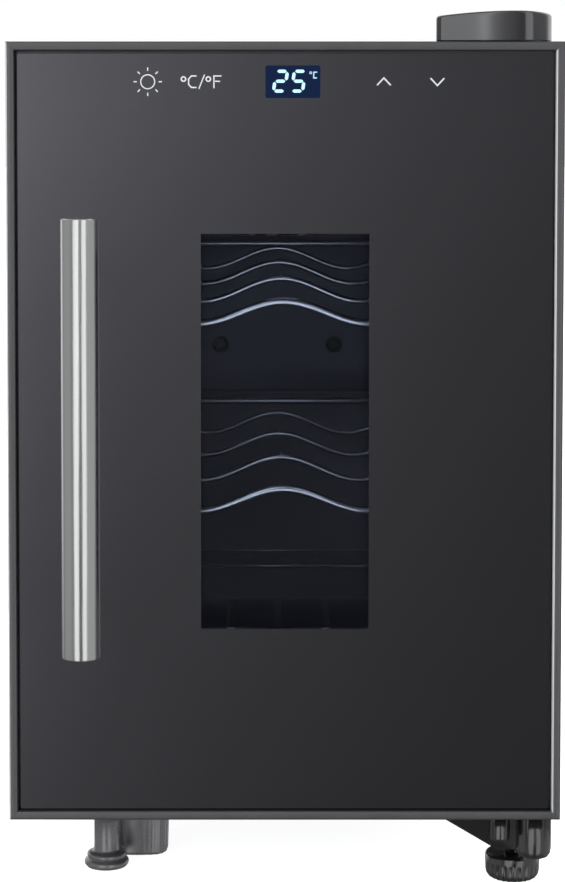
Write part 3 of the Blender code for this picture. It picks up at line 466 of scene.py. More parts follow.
WHITE_PLASTIC = surface("white_plastic", (0.68, 0.68, 0.66), 0.4, tint=0.05)
LENS = glow("light_lens", (0.85, 0.92, 1.0), 0.6, 0.8)
CERAMIC = surface("ceramic", (0.8, 0.8, 0.77), 0.6, tint=0.06, grain=0.1)
FOAM = surface("foam", (0.7, 0.6, 0.36), 0.85, tint=0.18, patch=90.0, grain=0.6,
               grain_scale=700.0)
BRASS = surface("plated_pin", (0.7, 0.66, 0.5), 0.25, 1.0, tint=0.08, patch=90.0)

NODE_LOOKS = {
    "door_core": MATTE_BLACK, "display_module": MATTE_BLACK, "window_spacer": MATTE_BLACK,
    "inner_glass": CLEAR_GLASS, "top_hinge_bush": WHITE_PLASTIC, "bottom_hinge_bush": WHITE_PLASTIC,
    "handle_screw_upper": STEEL, "handle_screw_lower": STEEL, "base_pan": ZINC_BLACK,
    "front_bezel": SATIN_BLACK, "foam_insulation": FOAM, "cold_sink": ALUMINIUM,
    "hot_sink": ALUMINIUM, "peltier_module": CERAMIC, "power_supply": STEEL,
    "interior_light": LENS, "temperature_probe": STEEL, "bottom_hinge_pin": STEEL,
    "top_hinge_plate": STEEL, "top_hinge_pin": STEEL, "top_hinge_screw_front": STEEL,
    "top_hinge_screw_rear": STEEL,
}


def dress_nodes():
    """Give the CAD nodes that stay visible their materials."""
    for name, look in NODE_LOOKS.items():
        node = bpy.data.objects[name]
        node.data.materials.clear()
        node.data.materials.append(look)
        node.visible_shadow = look is not CLEAR_GLASS


# ---------------------------------------------------------------- door

DOOR_LIP = 4.3
PRINT_D = (GLASS_D[0] - 0.06, GLASS_D[0] + 0.2)
DIGIT_D = (GLASS_D[0] - 0.12, GLASS_D[0] + 0.1)


def door_frame():
    """Mitred surround: a flat lip between two rounded edges, a groove and a deep ledge."""
    lip, ledge, seat, cut = DOOR_LIP, 10.0, 5.8, 1.1
    back = DOOR_D[1]
    profile = arc((cut, cut), cut, 180.0, 270.0, 5)
    profile += [(lip - 0.9, 0.0), (lip - 0.3, 0.5), (lip, 1.2), (lip, seat), (ledge, seat),
                (ledge, back), (0.7, back), (0.0, back - 0.7)]
    frame = make("door_frame_trim", mitred_ring(profile, DOOR_X, DOOR_Z, 0.04), FRAME_METAL,
                 angle=50.0)
    # Front edge faces turned to the left get the lighter metal, a painted highlight of the light from
    # the left.
    frame.data.materials.append(PAINTED_EDGE_HIGHLIGHT)
    for face in frame.data.polygons:
        turned_left = face.normal.x < -0.1 and -0.97 < face.normal.y < -0.15
        if turned_left and face.center.y < at(0.0, cut, 0.0).y:
            face.material_index = 1
    return fit(frame, "door", "door_frame", "door_frame")


def glass_panel():
    """Back-printed black glass with a clear window."""
    sheet = block(GLASS_X, GLASS_D, GLASS_Z)
    bmesh.ops.bevel(sheet, geom=sheet.edges, offset=0.25, segments=2, affect="EDGES")
    panel = make("glass_panel", sheet, PRINTED_GLASS)
    change(panel, [block(WINDOW_X, (0.0, 8.0), WINDOW_Z)])
    panel.data.shade_flat()
    fit(panel, "door", "front_glass", "front_glass")
    inset = 0.05
    pane = make("window_pane", block((WINDOW_X[0] + inset, WINDOW_X[1] - inset),
                                     (GLASS_D[0], GLASS_D[1] - 1.5),
                                     (WINDOW_Z[0] + inset, WINDOW_Z[1] - inset)), SMOKED_GLASS)
    pane.visible_shadow = False
    fit(pane, "door", "front_glass")


def ring_stroke(x, z, radius, width):
    return ribbon(arc((x, z), radius, 0.0, 360.0 * 31 / 32, 31), width, closed=True)


def touch_symbols():
    """Thin printed symbols: a lamp key, the unit key and two arrows."""
    z = ICON_Z
    shapes = [ring_stroke(-61.9, z, 3.15, 0.5)]
    for k in range(8):
        angle = math.tau * k / 8
        line = [(-61.9 + r * math.cos(angle), z + r * math.sin(angle)) for r in (4.9, 6.4)]
        shapes.append(ribbon(line, 0.5))
    stroke = 0.58
    low, high = z - 2.9, z + 2.9
    shapes += [ring_stroke(-45.8, high - 1.7, 1.0, 0.6), ring_stroke(-34.6, high - 1.7, 1.0, 0.6)]
    c_right, c_left = -39.9, -43.5
    shapes.append(ribbon([(c_right, high - 0.3), (c_left + 1.3, high - 0.3), (c_left, high - 1.7),
                          (c_left, low + 1.7), (c_left + 1.3, low + 0.3), (c_right, low + 0.3)],
                         stroke))
    shapes.append(ribbon([(-38.9, low - 0.3), (-36.3, high + 0.3)], stroke * 0.9))
    f_left = -32.1
    shapes.append(ribbon([(f_left, low), (f_left, high - 0.3), (f_left + 3.4, high - 0.3)], stroke))
    shapes.append(ribbon([(f_left, z + 0.2), (f_left + 2.8, z + 0.2)], stroke))
    for x, flip in ((44.4, 1.0), (68.5, -1.0)):
        shapes.append(ribbon([(x - 3.1, z - 1.6 * flip), (x, z + 1.7 * flip),
                              (x + 3.1, z - 1.6 * flip)], 0.65))
    symbols = make("touch_symbols", merge(bmesh.new(), *shapes), PRINT)
    fit(symbols, "door", "front_glass")


SEGMENTS = {"a": ((0, 2), (1, 2)), "b": ((1, 2), (1, 1)), "c": ((1, 1), (1, 0)),
            "d": ((0, 0), (1, 0)), "e": ((0, 1), (0, 0)), "f": ((0, 2), (0, 1)),
            "g": ((0, 1), (1, 1))}


def digit(x, z, lit):
    """A slanted seven-segment digit."""
    width, height, stroke, slant = 5.0, 8.9, 1.45, 0.15
    shapes = []
    for name in lit:
        ends = []
        for column, row in SEGMENTS[name]:
            up = row * height / 2
            ends.append(Vector((x + column * width + slant * up, z + up)))
        along = (ends[1] - ends[0]).normalized()
        tip = 0.22 * stroke
        taper = stroke * 0.5
        a, b = ends[0] + along * tip, ends[1] - along * tip
        side = Vector((-along.y, along.x)) * stroke / 2
        outline = [a, a + along * taper + side, b - along * taper + side, b,
                   b - along * taper - side, a + along * taper - side]
        shapes.append(prism([(p.x, p.y) for p in outline], DIGIT_D, "depth"))
    return shapes


def display():
    outline = rounded_outline(DISPLAY_X, DISPLAY_Z, 0.8, 3)
    face = make("display_face", prism(outline, PRINT_D, "depth"), DISPLAY_FACE)
    fit(face, "door", "display_module")
    base = DISPLAY_Z[0] + 3.1
    shapes = digit(-5.3, base, "abged") + digit(2.8, base, "afgcd")
    digits = make("display_digits", merge(bmesh.new(), *shapes), DIGIT)
    fit(digits, "door", "display_module")
    x, z = 12.9, DISPLAY_Z[1] - 4.3
    letter = [(x + 1.5, z + 1.3), (x, z + 1.3), (x - 0.1, z - 1.3), (x + 1.4, z - 1.3)]
    mark = merge(ribbon(letter, 0.55), ring_stroke(x - 1.4, z + 1.0, 0.45, 0.35))
    unit = make("display_unit", move(mark, dd=-0.05), SMALL_DIGIT)
    fit(unit, "door", "display_module")


def handle():
    (x0, x1), _, (low, high) = reach("handle_bar")
    centre = (middle((x0, x1)), reach("handle_bar")[1][0] + (x1 - x0) / 2)
    radius = (x1 - x0) / 2
    edge = 0.8
    profile = [(0.01, low), (radius * 0.6, low + 0.06), (radius - 1.3, low + 0.25)]
    profile += [(radius - edge + edge * math.cos(a), low + 0.3 + edge + edge * math.sin(a))
                for a in (math.radians(-70.0), math.radians(-35.0), 0.0)]
    profile += [(radius, middle((low, high)))]
    profile += [(radius - edge + edge * math.cos(a), high - edge + edge * math.sin(a))
                for a in (0.0, math.radians(30.0), math.radians(60.0), math.radians(88.0))]
    profile += [(radius - 2.0, high), (0.01, high)]
    bar = make("handle_tube", turned(profile, centre, sides=96), BRUSHED, angle=28.0)
    bar.visible_glossy = False
    fit(bar, "door", "handle_bar", "handle_bar")
    for label in ("upper", "lower"):
        node = "handle_post_" + label
        (px0, px1), (front, back), (pz0, pz1) = reach(node)
        r = (px1 - px0) / 2
        spot = (middle((px0, px1)), middle((pz0, pz1)))
        profile = [(0.01, back), (r - 0.2, back), (r, back - 0.3), (r, back - 1.6),
                   (r - 0.5, back - 2.4), (r - 0.5, front + 6.0), (r, front + 2.0),
                   (0.01, front + 1.0)]
        post = make("handle_standoff_" + label, turned(profile, spot, "depth", 48), BRUSHED,
                    angle=28.0)
        post.visible_glossy = False
        fit(post, "door", node, node)


def inner_panel():
    """Moulded inner door panel with a raised border and a window surround."""
    x, depth, z = reach("door_inner_panel")
    face = depth[1] - 1.6
    panel = make("inner_panel", block(x, (depth[0], face), z), BLUE_LIT_CABIN_PLASTIC, bevel=2.4)
    change(panel, [block(CAVITY_X, (20.0, 50.0), CAVITY_Z)])
    border = [(0.0, face - 0.4), (0.0, depth[1] - 0.8), (0.8, depth[1]), (5.2, depth[1]),
              (6.0, depth[1] - 0.8), (6.0, face - 0.4)]
    rim_x, rim_z = (-90.0, 90.0), (z[0] + 30.0, z[1] - 42.0)
    surround = [(0.0, face - 0.4), (0.6, depth[1] - 0.9), (1.4, depth[1] - 0.2), (2.2, depth[1]),
                (6.0, depth[1]), (6.0, face - 0.4)]
    whole = merge(mitred_ring(border, rim_x, rim_z),
                  mitred_ring(surround, (CAVITY_X[0] - 6.0, CAVITY_X[1] + 6.0),
                              (CAVITY_Z[0] - 6.0, CAVITY_Z[1] + 6.0)))
    for k in range(3):
        low = rim_z[0] + 12.0 + 8.0 * k
        merge(whole, block((-60.0, 60.0), (face - 0.4, face + 0.9), (low, low + 3.0)))
    trims = make("inner_panel_mouldings", whole, BLUE_LIT_CABIN_PLASTIC, bevel=0.3, segments=2)
    fit(trims, "door", "door_inner_panel")
    fit(panel, "door", "door_inner_panel", "door_inner_panel")


def gasket():
    x, depth, z = reach("door_gasket")
    base, tip = depth
    wide = 11.0
    profile = [(0.0, base), (wide, base), (wide, base + 1.0), (wide - 1.6, base + 1.9),
               (wide - 0.5, base + 2.8), (wide - 1.7, base + 3.7), (wide - 0.2, base + 4.9),
               (wide - 0.1, tip - 0.7), (wide - 0.9, tip), (0.9, tip), (0.1, tip - 0.7),
               (0.2, base + 4.9), (1.7, base + 3.7), (0.5, base + 2.8), (1.6, base + 1.9),
               (0.0, base + 1.0)]
    seal = make("magnetic_gasket", mitred_ring(profile, x, z), RUBBER, angle=60.0)
    fit(seal, "door", "door_gasket", "door_gasket")


# ---------------------------------------------------------------- hinges

def cap_outline():
    """Plan of the hinge cap: a round nose over the pin and a front that curves back to the left."""
    (left, right), (front, back), _ = reach("top_hinge_cap")
    small, large = CAP_CORNERS
    nose_x = right - CAP_NOSE_RADIUS
    points = arc((nose_x, front + CAP_NOSE_RADIUS), CAP_NOSE_RADIUS - 0.05, 0.0, -90.0, 12)
    steps = 9
    for i in range(1, steps + 1):
        x = nose_x + (left + small - nose_x) * i / steps
        points.append((x, front + 0.1 + CAP_FRONT_CURVE * (nose_x - x) ** 2))
    points += arc((left + small, points[-1][1] + small), small, -105.0, -180.0, 5)
    points += arc((left + CAP_TAPER + large, back - large), large, 180.0, 90.0, 7)
    points += arc((right - large, back - large), large, 90.0, 0.0, 7)
    return points


def cap_height(x, top):
    """The crown of the cap falls away on both sides of its peak."""
    drop, span = (2.3, 36.0) if x < CAP_PEAK_X else (1.3, 16.0)
    return top - drop * ((x - CAP_PEAK_X) / span) ** 2


def hinge_cap():
    (left, right), (front, back), (low, high) = reach("top_hinge_cap")
    centre = (middle((left, right)), middle((front, back)))
    half = ((right - left) / 2, (back - front) / 2)

    def ring(inset, drop=None, lift=0.0):
        points = []
        for x, d in cap_outline():
            px = centre[0] + (x - centre[0]) * (1 - inset / half[0])
            pd = centre[1] + (d - centre[1]) * (1 - inset / half[1])
            points.append((px, pd, low + lift if drop is None else cap_height(px, high) - drop))
        return points

    edge = 1.3
    rings = [ring(0.0), ring(0.0, lift=0.2), ring(0.0, edge + 1.5), ring(0.0, edge)]
    for angle in (20.0, 40.0, 60.0, 80.0):
        a = math.radians(angle)
        rings.append(ring(edge * (1 - math.cos(a)), edge * (1 - math.sin(a))))
    rings += [ring(inset, 0.0) for inset in (edge + 0.4, 6.0, 12.0, 18.0, 23.0)]
    shape = skin(rings, closed_ends=False)
    shape.verts.ensure_lookup_table()
    shape.faces.new(shape.verts[-len(rings[0]):])
    bmesh.ops.recalc_face_normals(shape, faces=shape.faces)
    cap = make("hinge_cover_cap", shape, GLOSS_BLACK, angle=50.0)
    wall = cap.modifiers.new("Solidify", "SOLIDIFY")
    wall.thickness = 1.5 * MM
    wall.offset = -1.0
    fit(cap, "cabinet", "top_hinge_cap", "top_hinge_cap")


def hinge_bracket():
    """Gloss bracket under the door: plate, pin boss, screw boss, foot socket and gusset."""
    x, depth, (low, high) = reach("bottom_hinge_bracket")
    under, inside = high - BRACKET_SHEET, high - BRACKET_SHEET / 2
    knob_x, knob_d, _ = reach("levelling_foot_right")
    foot = (middle(knob_x), middle(knob_d))
    outline = rounded_outline(x, (BRACKET_FRONT, depth[1]), 5.0)
    plate = make("lower_hinge_bracket", prism(outline, (under, high)), GLOSS_PAINT, bevel=0.5)
    r = BOSS_RADIUS
    boss = turned([(0.01, inside), (r, inside), (r - 0.05, low + 4.5), (r - 0.4, low + 2.4),
                   (r - 1.4, low + 0.9), (r - 3.0, low + 0.2), (0.01, low + 0.05)], BOSS_PLACE)
    r, tip = SCREW_BOSS_RADIUS, SCREW_BOSS_BOTTOM
    screw = turned([(0.01, inside), (r, inside), (r - 0.05, tip + 1.3), (r - 0.55, tip + 0.3),
                    (r - 1.85, tip), (0.01, tip)], SCREW_BOSS_PLACE, sides=48)
    socket = turned([(0.01, inside), (8.0, inside), (7.8, 18.6), (7.0, 17.5), (4.6, 17.5),
                     (4.4, 18.5), (4.4, 36.0), (0.01, 36.0)], foot)
    gusset = prism([(GUSSET_TIP_X, inside), (GUSSET_FLAT_X[0], GUSSET_BOTTOM),
                    (GUSSET_FLAT_X[1], GUSSET_BOTTOM), (GUSSET_FLAT_X[1], inside)],
                   GUSSET_DEPTH, "depth")
    change(plate, [boss, screw, socket, gusset], "UNION")
    change(plate, [plug(PIN_HOLE_RADIUS, (PIN_HOLE_BOTTOM, high + 1.0), PIN_HOLE_PLACE, "z", 32)])
    fit(plate, "cabinet", "bottom_hinge_bracket", "bottom_hinge_bracket")


# ---------------------------------------------------------------- cabinet

def wrap():
    """Folded sheet with round top corners."""
    x, depth, z = reach("outer_wrap")
    radius, sheet = 4.0, 1.0
    outer = [(x[1], z[0])] + arc((x[1] - radius, z[1] - radius), radius, 0.0, 90.0, 6)
    outer += arc((x[0] + radius, z[1] - radius), radius, 90.0, 180.0, 6) + [(x[0], z[0])]
    inner_radius = radius - sheet
    inner = [(x[0] + sheet, z[0])]
    inner += arc((x[0] + radius, z[1] - radius), inner_radius, 180.0, 90.0, 6)
    inner += arc((x[1] - radius, z[1] - radius), inner_radius, 90.0, 0.0, 6)
    inner += [(x[1] - sheet, z[0])]
    shell = make("cabinet_shell", prism(outer + inner, depth, "depth"), POWDER_COAT, bevel=0.3,
                 segments=2, angle=50.0)
    fit(shell, "cabinet", "outer_wrap", "outer_wrap")


def liner():
    """Inner box with round corners, sloping shelf ledges, floor ribs and a beaded rear step."""
    x, depth, z = reach("inner_liner")
    wall = 1.5
    inside_x, inside_z = (x[0] + wall, x[1] - wall), (z[0] + wall, z[1] - wall)
    rear = depth[1] - wall
    box = make("cabin_liner", block(x, depth, z), BLUE_LIT_CABIN_PLASTIC)
    change(box, [block(inside_x, (20.0, rear), inside_z)], bevel=7.0)
    hole = 21.0
    middle_z = middle(reach("peltier_module")[2])
    change(box, [block((-hole, hole), (rear - 10.0, rear + 5.0),
                       (middle_z - hole, middle_z + hole))])
    fit(box, "cabinet", "inner_liner", "inner_liner")
    floor = inside_z[0]
    along = (FLOOR_FRONT, STEP_FRONT - 8.0)
    extras = block((inside_x[0] - 0.5, inside_x[1] + 0.5), (STEP_FRONT, rear + 0.5),
                   (floor - 0.5, STEP_TOP))
    merge(extras, block((-2.0, 2.0), along, (floor - 0.5, floor + 1.5)))
    for side in (-1, 1):
        for offset in (28.0, 56.0, 84.0):
            rib = sorted((side * offset - 1.5, side * offset + 1.5))
            merge(extras, block(rib, along, (floor - 0.5, floor + 0.8)))
        for label, slope in SHELF_SLOPES.items():
            _, (front, _), (low, _) = reach(label + "_shelf_frame")
            top = low - 0.3 + slope * (SHELF_MIDDLE - front)
            across = sorted((side * LEDGE_X, side * (inside_x[1] + 0.5)))
            ledge = block(across, (FLOOR_FRONT, STEP_FRONT), (top - 3.0, top))
            merge(extras, turn(ledge, Matrix.Rotation(math.atan(slope), 4, "X"),
                               (0.0, SHELF_MIDDLE, top - 1.5)))
    details = make("liner_mouldings", extras, BLUE_LIT_CABIN_PLASTIC, bevel=1.1)
    fit(details, "cabinet", "inner_liner")
    beads = [tube([(inside_x[0] + 1.0, d, z), (inside_x[1] - 1.0, d, z)], radius, 16)
             for d, z, radius in ((STEP_FRONT - 0.4, STEP_TOP - 0.5, 1.2),
                                  (STEP_FRONT + 44.0, STEP_TOP + 0.3, 0.6))]
    edging = make("floor_step_beads", merge(bmesh.new(), *beads), CHROME, angle=50.0)
    fit(edging, "cabinet", "inner_liner")


def air_cover():
    x, depth, z = reach("cold_air_cover")
    cover = make("cold_side_cover", block(x, depth, z), BLUE_LIT_CABIN_PLASTIC, bevel=3.5)
    wall = 2.5
    cuts = [block((x[0] + wall, x[1] - wall), (depth[0] + wall, depth[1] + 9.0),
                  (z[0] + wall, z[1] - wall))]
    fan_z = middle(reach("cold_fan_frame")[2])
    front = (depth[0] - 2.0, depth[0] + 5.0)
    for k in range(5):
        low = fan_z - 22.0 + 9.5 * k
        cuts.append(prism(rounded_outline((-22.0, 22.0), (low, low + 6.0), 2.9, 4), front, "depth"))
    for side in (-1, 1):
        for k in range(4):
            low = 212.0 + 12.0 * k
            across = sorted((side * 60.0, side * 80.0))
            cuts.append(prism(rounded_outline(across, (low, low + 5.0), 2.4, 4), front, "depth"))
    change(cover, cuts)
    fit(cover, "cabinet", "cold_air_cover", "cold_air_cover")
    for label in ("left", "right"):
        node = "cover_screw_" + label
        (x0, x1), (tip, _), (z0, z1) = reach(node)
        r = (x1 - x0) / 2
        profile = [(0.01, tip + 0.5), (r * 0.45, tip + 0.5), (r * 0.5, tip), (r * 0.82, tip),
                   (r, tip + 0.6), (r, depth[0] - 0.1), (0.01, depth[0] - 0.1)]
        plug = make("cover_plug_" + label, turned(profile, (middle((x0, x1)), middle((z0, z1))),
                                                  "depth", 48), DARK_PLUG)
        fit(plug, "cabinet", node, node)


def screw_head(x, z, base, radius=3.2, height=1.7):
    """A pan head that faces the back, with a cross recess."""
    tip = base + height
    profile = [(0.01, tip), (radius * 0.5, tip - 0.05), (radius * 0.85, tip - 0.5),
               (radius, base + 0.3), (radius, base), (0.01, base)]
    head = make("screw", turned(profile, (x, z), "depth", 32), STEEL)
    arm, half, recess = radius * 0.55, 0.4, (tip - 0.8, tip + 1.0)
    return change(head, [block((x - arm, x + arm), recess, (z - half, z + half)),
                         block((x - half, x + half), recess, (z - arm, z + arm))])


def screws(name, places, base, slot, radius=3.2, height=1.7):
    """A set of equal screws as one piece."""
    pattern = screw_head(0.0, 0.0, base, radius, height)
    whole = bmesh.new()
    for x, z in places:
        before = len(whole.verts)
        whole.from_mesh(pattern.data)
        whole.verts.ensure_lookup_table()
        bmesh.ops.translate(whole, verts=whole.verts[before:], vec=Vector((x, 0.0, z)) * MM)
    mesh = bpy.data.meshes.new(name)
    whole.to_mesh(mesh)
    whole.free()
    bpy.data.objects.remove(pattern, do_unlink=True)
    obj = bpy.data.objects.new(name, mesh)
    bpy.context.scene.collection.objects.link(obj)
    mesh.materials.append(STEEL)
    fit(obj, "cabinet", slot)


def back_panel():
    """Sheet back with a fan opening, hooded vents, a raised border and screws."""
    x, depth, z = reach("rear_panel")
    fan_z = middle(reach("hot_fan_frame")[2])
    (ix0, ix1), _, (iz0, iz1) = reach("power_inlet")
    panel = make("back_panel", prism(rounded_outline(x, z, 3.0), depth, "depth"), ZINC_BLACK)
    through = (depth[0] - 2.0, depth[1] + 2.0)
    inlet = ((ix0 + 3.0, ix1 - 3.0), (iz0 + 2.5, iz1 - 2.5))
    cuts = [plug(43.5, through, (0.0, fan_z)), block(inlet[0], through, inlet[1])]
    hoods = bmesh.new()
    face = depth[1]
    for side in (-1, 1):
        across = sorted((side * 35.0, side * 95.0))
        for k in range(7):
            low = 119.0 + 12.0 * k
            cuts.append(prism(rounded_outline(across, (low, low + 5.0), 2.3, 3), through, "depth"))
            hood = [(face - 0.2, low + 7.2), (face + 0.1, low + 7.2), (face + 1.9, low + 3.6),
                    (face + 1.9, low + 3.0), (face + 1.3, low + 3.0), (face - 0.2, low + 5.9)]
            merge(hoods, prism(hood, (across[0] - 1.5, across[1] + 1.5), "x"))
    change(panel, cuts)
    fit(panel, "cabinet", "rear_panel", "rear_panel")
    border = [(0.0, face - 0.3), (0.0, face + 0.5), (0.5, face + 0.9), (3.5, face + 0.9),
              (4.0, face + 0.5), (4.0, face - 0.3)]
    merge(hoods, mitred_ring(border, (x[0] + 14.0, x[1] - 14.0), (z[0] + 14.0, z[1] - 14.0)))
    fittings = make("back_panel_pressings", hoods, ZINC_BLACK, bevel=0.25, segments=2)
    fit(fittings, "cabinet", "rear_panel")
    rows = [z[0] + 7.0, middle(z), z[1] - 7.0]
    places = [(sx * (x[1] - 7.0), row) for sx in (-1, 1) for row in rows]
    places += [(0.0, z[0] + 7.0), (0.0, z[1] - 7.0)]
    screws("back_panel_screws", places, face, "rear_panel")


def guard():
    """Wire finger guard: rings on four bent spokes, held by four screws."""
    _, depth, z = reach("fan_guard")
    centre_z = middle(z)
    wire_r = 0.95
    plane = depth[1] - wire_r - 0.1
    whole = bmesh.new()
    for radius in (10.0, 18.0, 26.0, 34.0, 42.0):
        rings = []
        for turned_by in (math.tau * k / 64 for k in range(64)):
            out = Vector((math.cos(turned_by), 0.0, math.sin(turned_by)))
            point = Vector((0.0, plane, centre_z)) + out * radius
            rings.append([point + out * wire_r * math.cos(a) + Vector((0, 1, 0)) * wire_r * math.sin(a)
                          for a in (math.tau * j / 10 for j in range(10))])
        rings.append(rings[0])
        loop = skin(rings, closed_ends=False)
        bmesh.ops.remove_doubles(loop, verts=loop.verts, dist=0.0001)
        bmesh.ops.recalc_face_normals(loop, faces=loop.faces)
        merge(whole, loop)
    for k in range(4):
        a = math.radians(45.0 + 90.0 * k)
        path = [(r * math.cos(a), plane - 1.3, centre_z + r * math.sin(a))
                for r in (9.0, 20.0, 31.0, 42.0, 55.0)]
        merge(whole, tube(path, wire_r, 10))
        spot = (58.0 * math.cos(a), centre_z + 58.0 * math.sin(a))
        merge(whole, plug(4.4, (depth[0], depth[0] + 1.2), spot, sides=32))
    grille = make("wire_fan_guard", whole, SATIN_BLACK, angle=50.0)
    fit(grille, "cabinet", "fan_guard", "fan_guard")
    corners = [(58.0 * math.cos(a), centre_z + 58.0 * math.sin(a))
               for a in (math.radians(45.0 + 90.0 * k) for k in range(4))]
    screws("guard_screws", corners, depth[0] + 1.2, "fan_guard", 2.6, 1.5)


def fan_blade(hub, tip, depth, start, twist):
    """A curved blade from hub to tip as a thin closed sheet."""
    stations, chords, thick = 7, 8, 0.9
    layers = []
    for side in (-0.5, 0.5):
        grid = []
        for i in range(stations):
            t = i / (stations - 1)
            radius = hub - 1.0 + (tip - hub + 1.0) * t
            span = math.radians(twist * (1.0 - 0.15 * t))
            lean = math.radians(14.0 * t * t)
            row = []
            for j in range(chords):
                s = j / (chords - 1)
                angle = start + lean + span * (s - 0.5)
                rise = depth[0] + 1.0 + (depth[1] - depth[0] - 2.0) * (s ** 0.85) * (1 - 0.2 * t)
                row.append((radius * math.cos(angle), rise + side * thick,
                            radius * math.sin(angle)))
            grid.append(row)
        layers.append(grid)
    shape = bmesh.new()
    front, back = [[[shape.verts.new(p) for p in row] for row in grid] for grid in layers]
    for i in range(stations - 1):
        for j in range(chords - 1):
            shape.faces.new((front[i][j], front[i + 1][j], front[i + 1][j + 1], front[i][j + 1]))
            shape.faces.new((back[i][j], back[i][j + 1], back[i + 1][j + 1], back[i + 1][j]))
    rim = [(i, 0) for i in range(stations)] + [(stations - 1, j) for j in range(1, chords)]
    rim += [(i, chords - 1) for i in range(stations - 2, -1, -1)]
    rim += [(0, j) for j in range(chords - 2, 0, -1)]
    for (a, b), (c, d) in zip(rim, rim[1:] + rim[:1]):
        shape.faces.new((front[a][b], back[a][b], back[c][d], front[c][d]))
    bmesh.ops.recalc_face_normals(shape, faces=shape.faces)
    return shape


def fan(label, blades, hub_share, struts_at_back=True):
    """Rotor with curved blades and a square housing with a round bore and four struts."""
    (x0, x1), depth, _ = reach(label + "_fan_rotor")
    tip, centre_z = (x1 - x0) / 2, middle(reach(label + "_fan_frame")[2])
    hub = tip * hub_share
    front, back = depth
    profile = [(0.01, front), (hub - 1.5, front), (hub - 0.4, front + 0.4), (hub, front + 1.5),
               (hub, back), (0.01, back)]
    wheel = turned(profile, (0.0, centre_z), "depth", 64)
    for k in range(blades):
        merge(wheel, move(fan_blade(hub, tip - 0.5, depth, math.tau * k / blades, 300.0 / blades),
                          dz=centre_z))
    rotor = make(label + "_fan_wheel", wheel, SATIN_BLACK)
    fit(rotor, label + "_fan", label + "_fan_rotor", label + "_fan_rotor")
    x, depth, z = reach(label + "_fan_frame")
    half = x[1]
    housing = make(label + "_fan_housing", prism(rounded_outline(x, z, half * 0.1), depth, "depth"),
                   SATIN_BLACK, bevel=0.5, segments=2)
    bore = half - 2.4
    through = (depth[0] - 1.0, depth[1] + 1.0)
    cuts = [plug(bore, through, (0.0, centre_z))]
    hole = half * 0.87
    for sx in (-1, 1):
        for sz in (-1, 1):
            cuts.append(plug(2.0, through, (sx * hole, centre_z + sz * hole), sides=24))
    change(housing, cuts)
    seat = (depth[1] - 2.6, depth[1] - 0.2)
    spider = plug(hub, seat, (0.0, centre_z), sides=64)
    for k in range(4):
        strut = block((hub - 1.0, bore + 0.6), seat, (centre_z - 1.6, centre_z + 1.6))
        merge(spider, turn(strut, Matrix.Rotation(math.radians(20.0 + 90.0 * k), 4, "Y"),
                           (0.0, 0.0, centre_z)))
    struts = make(label + "_fan_struts", spider, SATIN_BLACK, bevel=0.4, segments=2)
    fit(struts, "cabinet", label + "_fan_frame")
    fit(housing, "cabinet", label + "_fan_frame", label + "_fan_frame")


def inlet():
    """Appliance inlet with a shaped socket and three pins."""
    x, depth, z = reach("power_inlet")
    cx, cz = middle(x), middle(z)
    face = depth[1] - 1.9
    body = make("inlet_body", block((cx - 13.5, cx + 13.5), (depth[0], depth[1] - 1.0),
                                    (cz - 10.0, cz + 10.0)), MATTE_BLACK)
    change(body, [prism(rounded_outline(x, z, 3.0), (face, depth[1] - 0.1), "depth")], "UNION")
    socket = [(cx - 11.8, cz - 7.8), (cx + 11.8, cz - 7.8), (cx + 11.8, cz + 3.5),
              (cx + 8.0, cz + 7.8), (cx - 8.0, cz + 7.8), (cx - 11.8, cz + 3.5)]
    change(body, [prism(socket, (depth[1] - 16.0, depth[1] + 3.0), "depth")])
    fit(body, "cabinet", "power_inlet", "power_inlet")
    pins = bmesh.new()
    for px, pz in ((-7.0, -2.0), (0.0, 2.5), (7.0, -2.0)):
        merge(pins, block((cx + px - 1.0, cx + px + 1.0), (depth[1] - 16.2, depth[1] - 4.0),
                          (cz + pz - 2.0, cz + pz + 2.0)))
    contacts = make("inlet_pins", pins, BRASS, bevel=0.4, segments=2)
    fit(contacts, "cabinet", "power_inlet")


# ---------------------------------------------------------------- shelves

def wave_line(label, number, depth_at, radius):
    """The centre line of a wave wire: the same wave as its solid, in finer steps."""
    (x0, x1), _, (low, high) = reach(f"{label}_shelf_wave_{number}")
    steps = 90
    crest = high - radius
    swing = (high - low) / 2 - radius
    inset = 0.3
    xs = [x0 + inset + (x1 - x0 - 2 * inset) * k / steps for k in range(steps + 1)]
    return [(x, depth_at, crest - swing + swing * math.cos(math.tau * x / WAVE_PERIOD)) for x in xs]


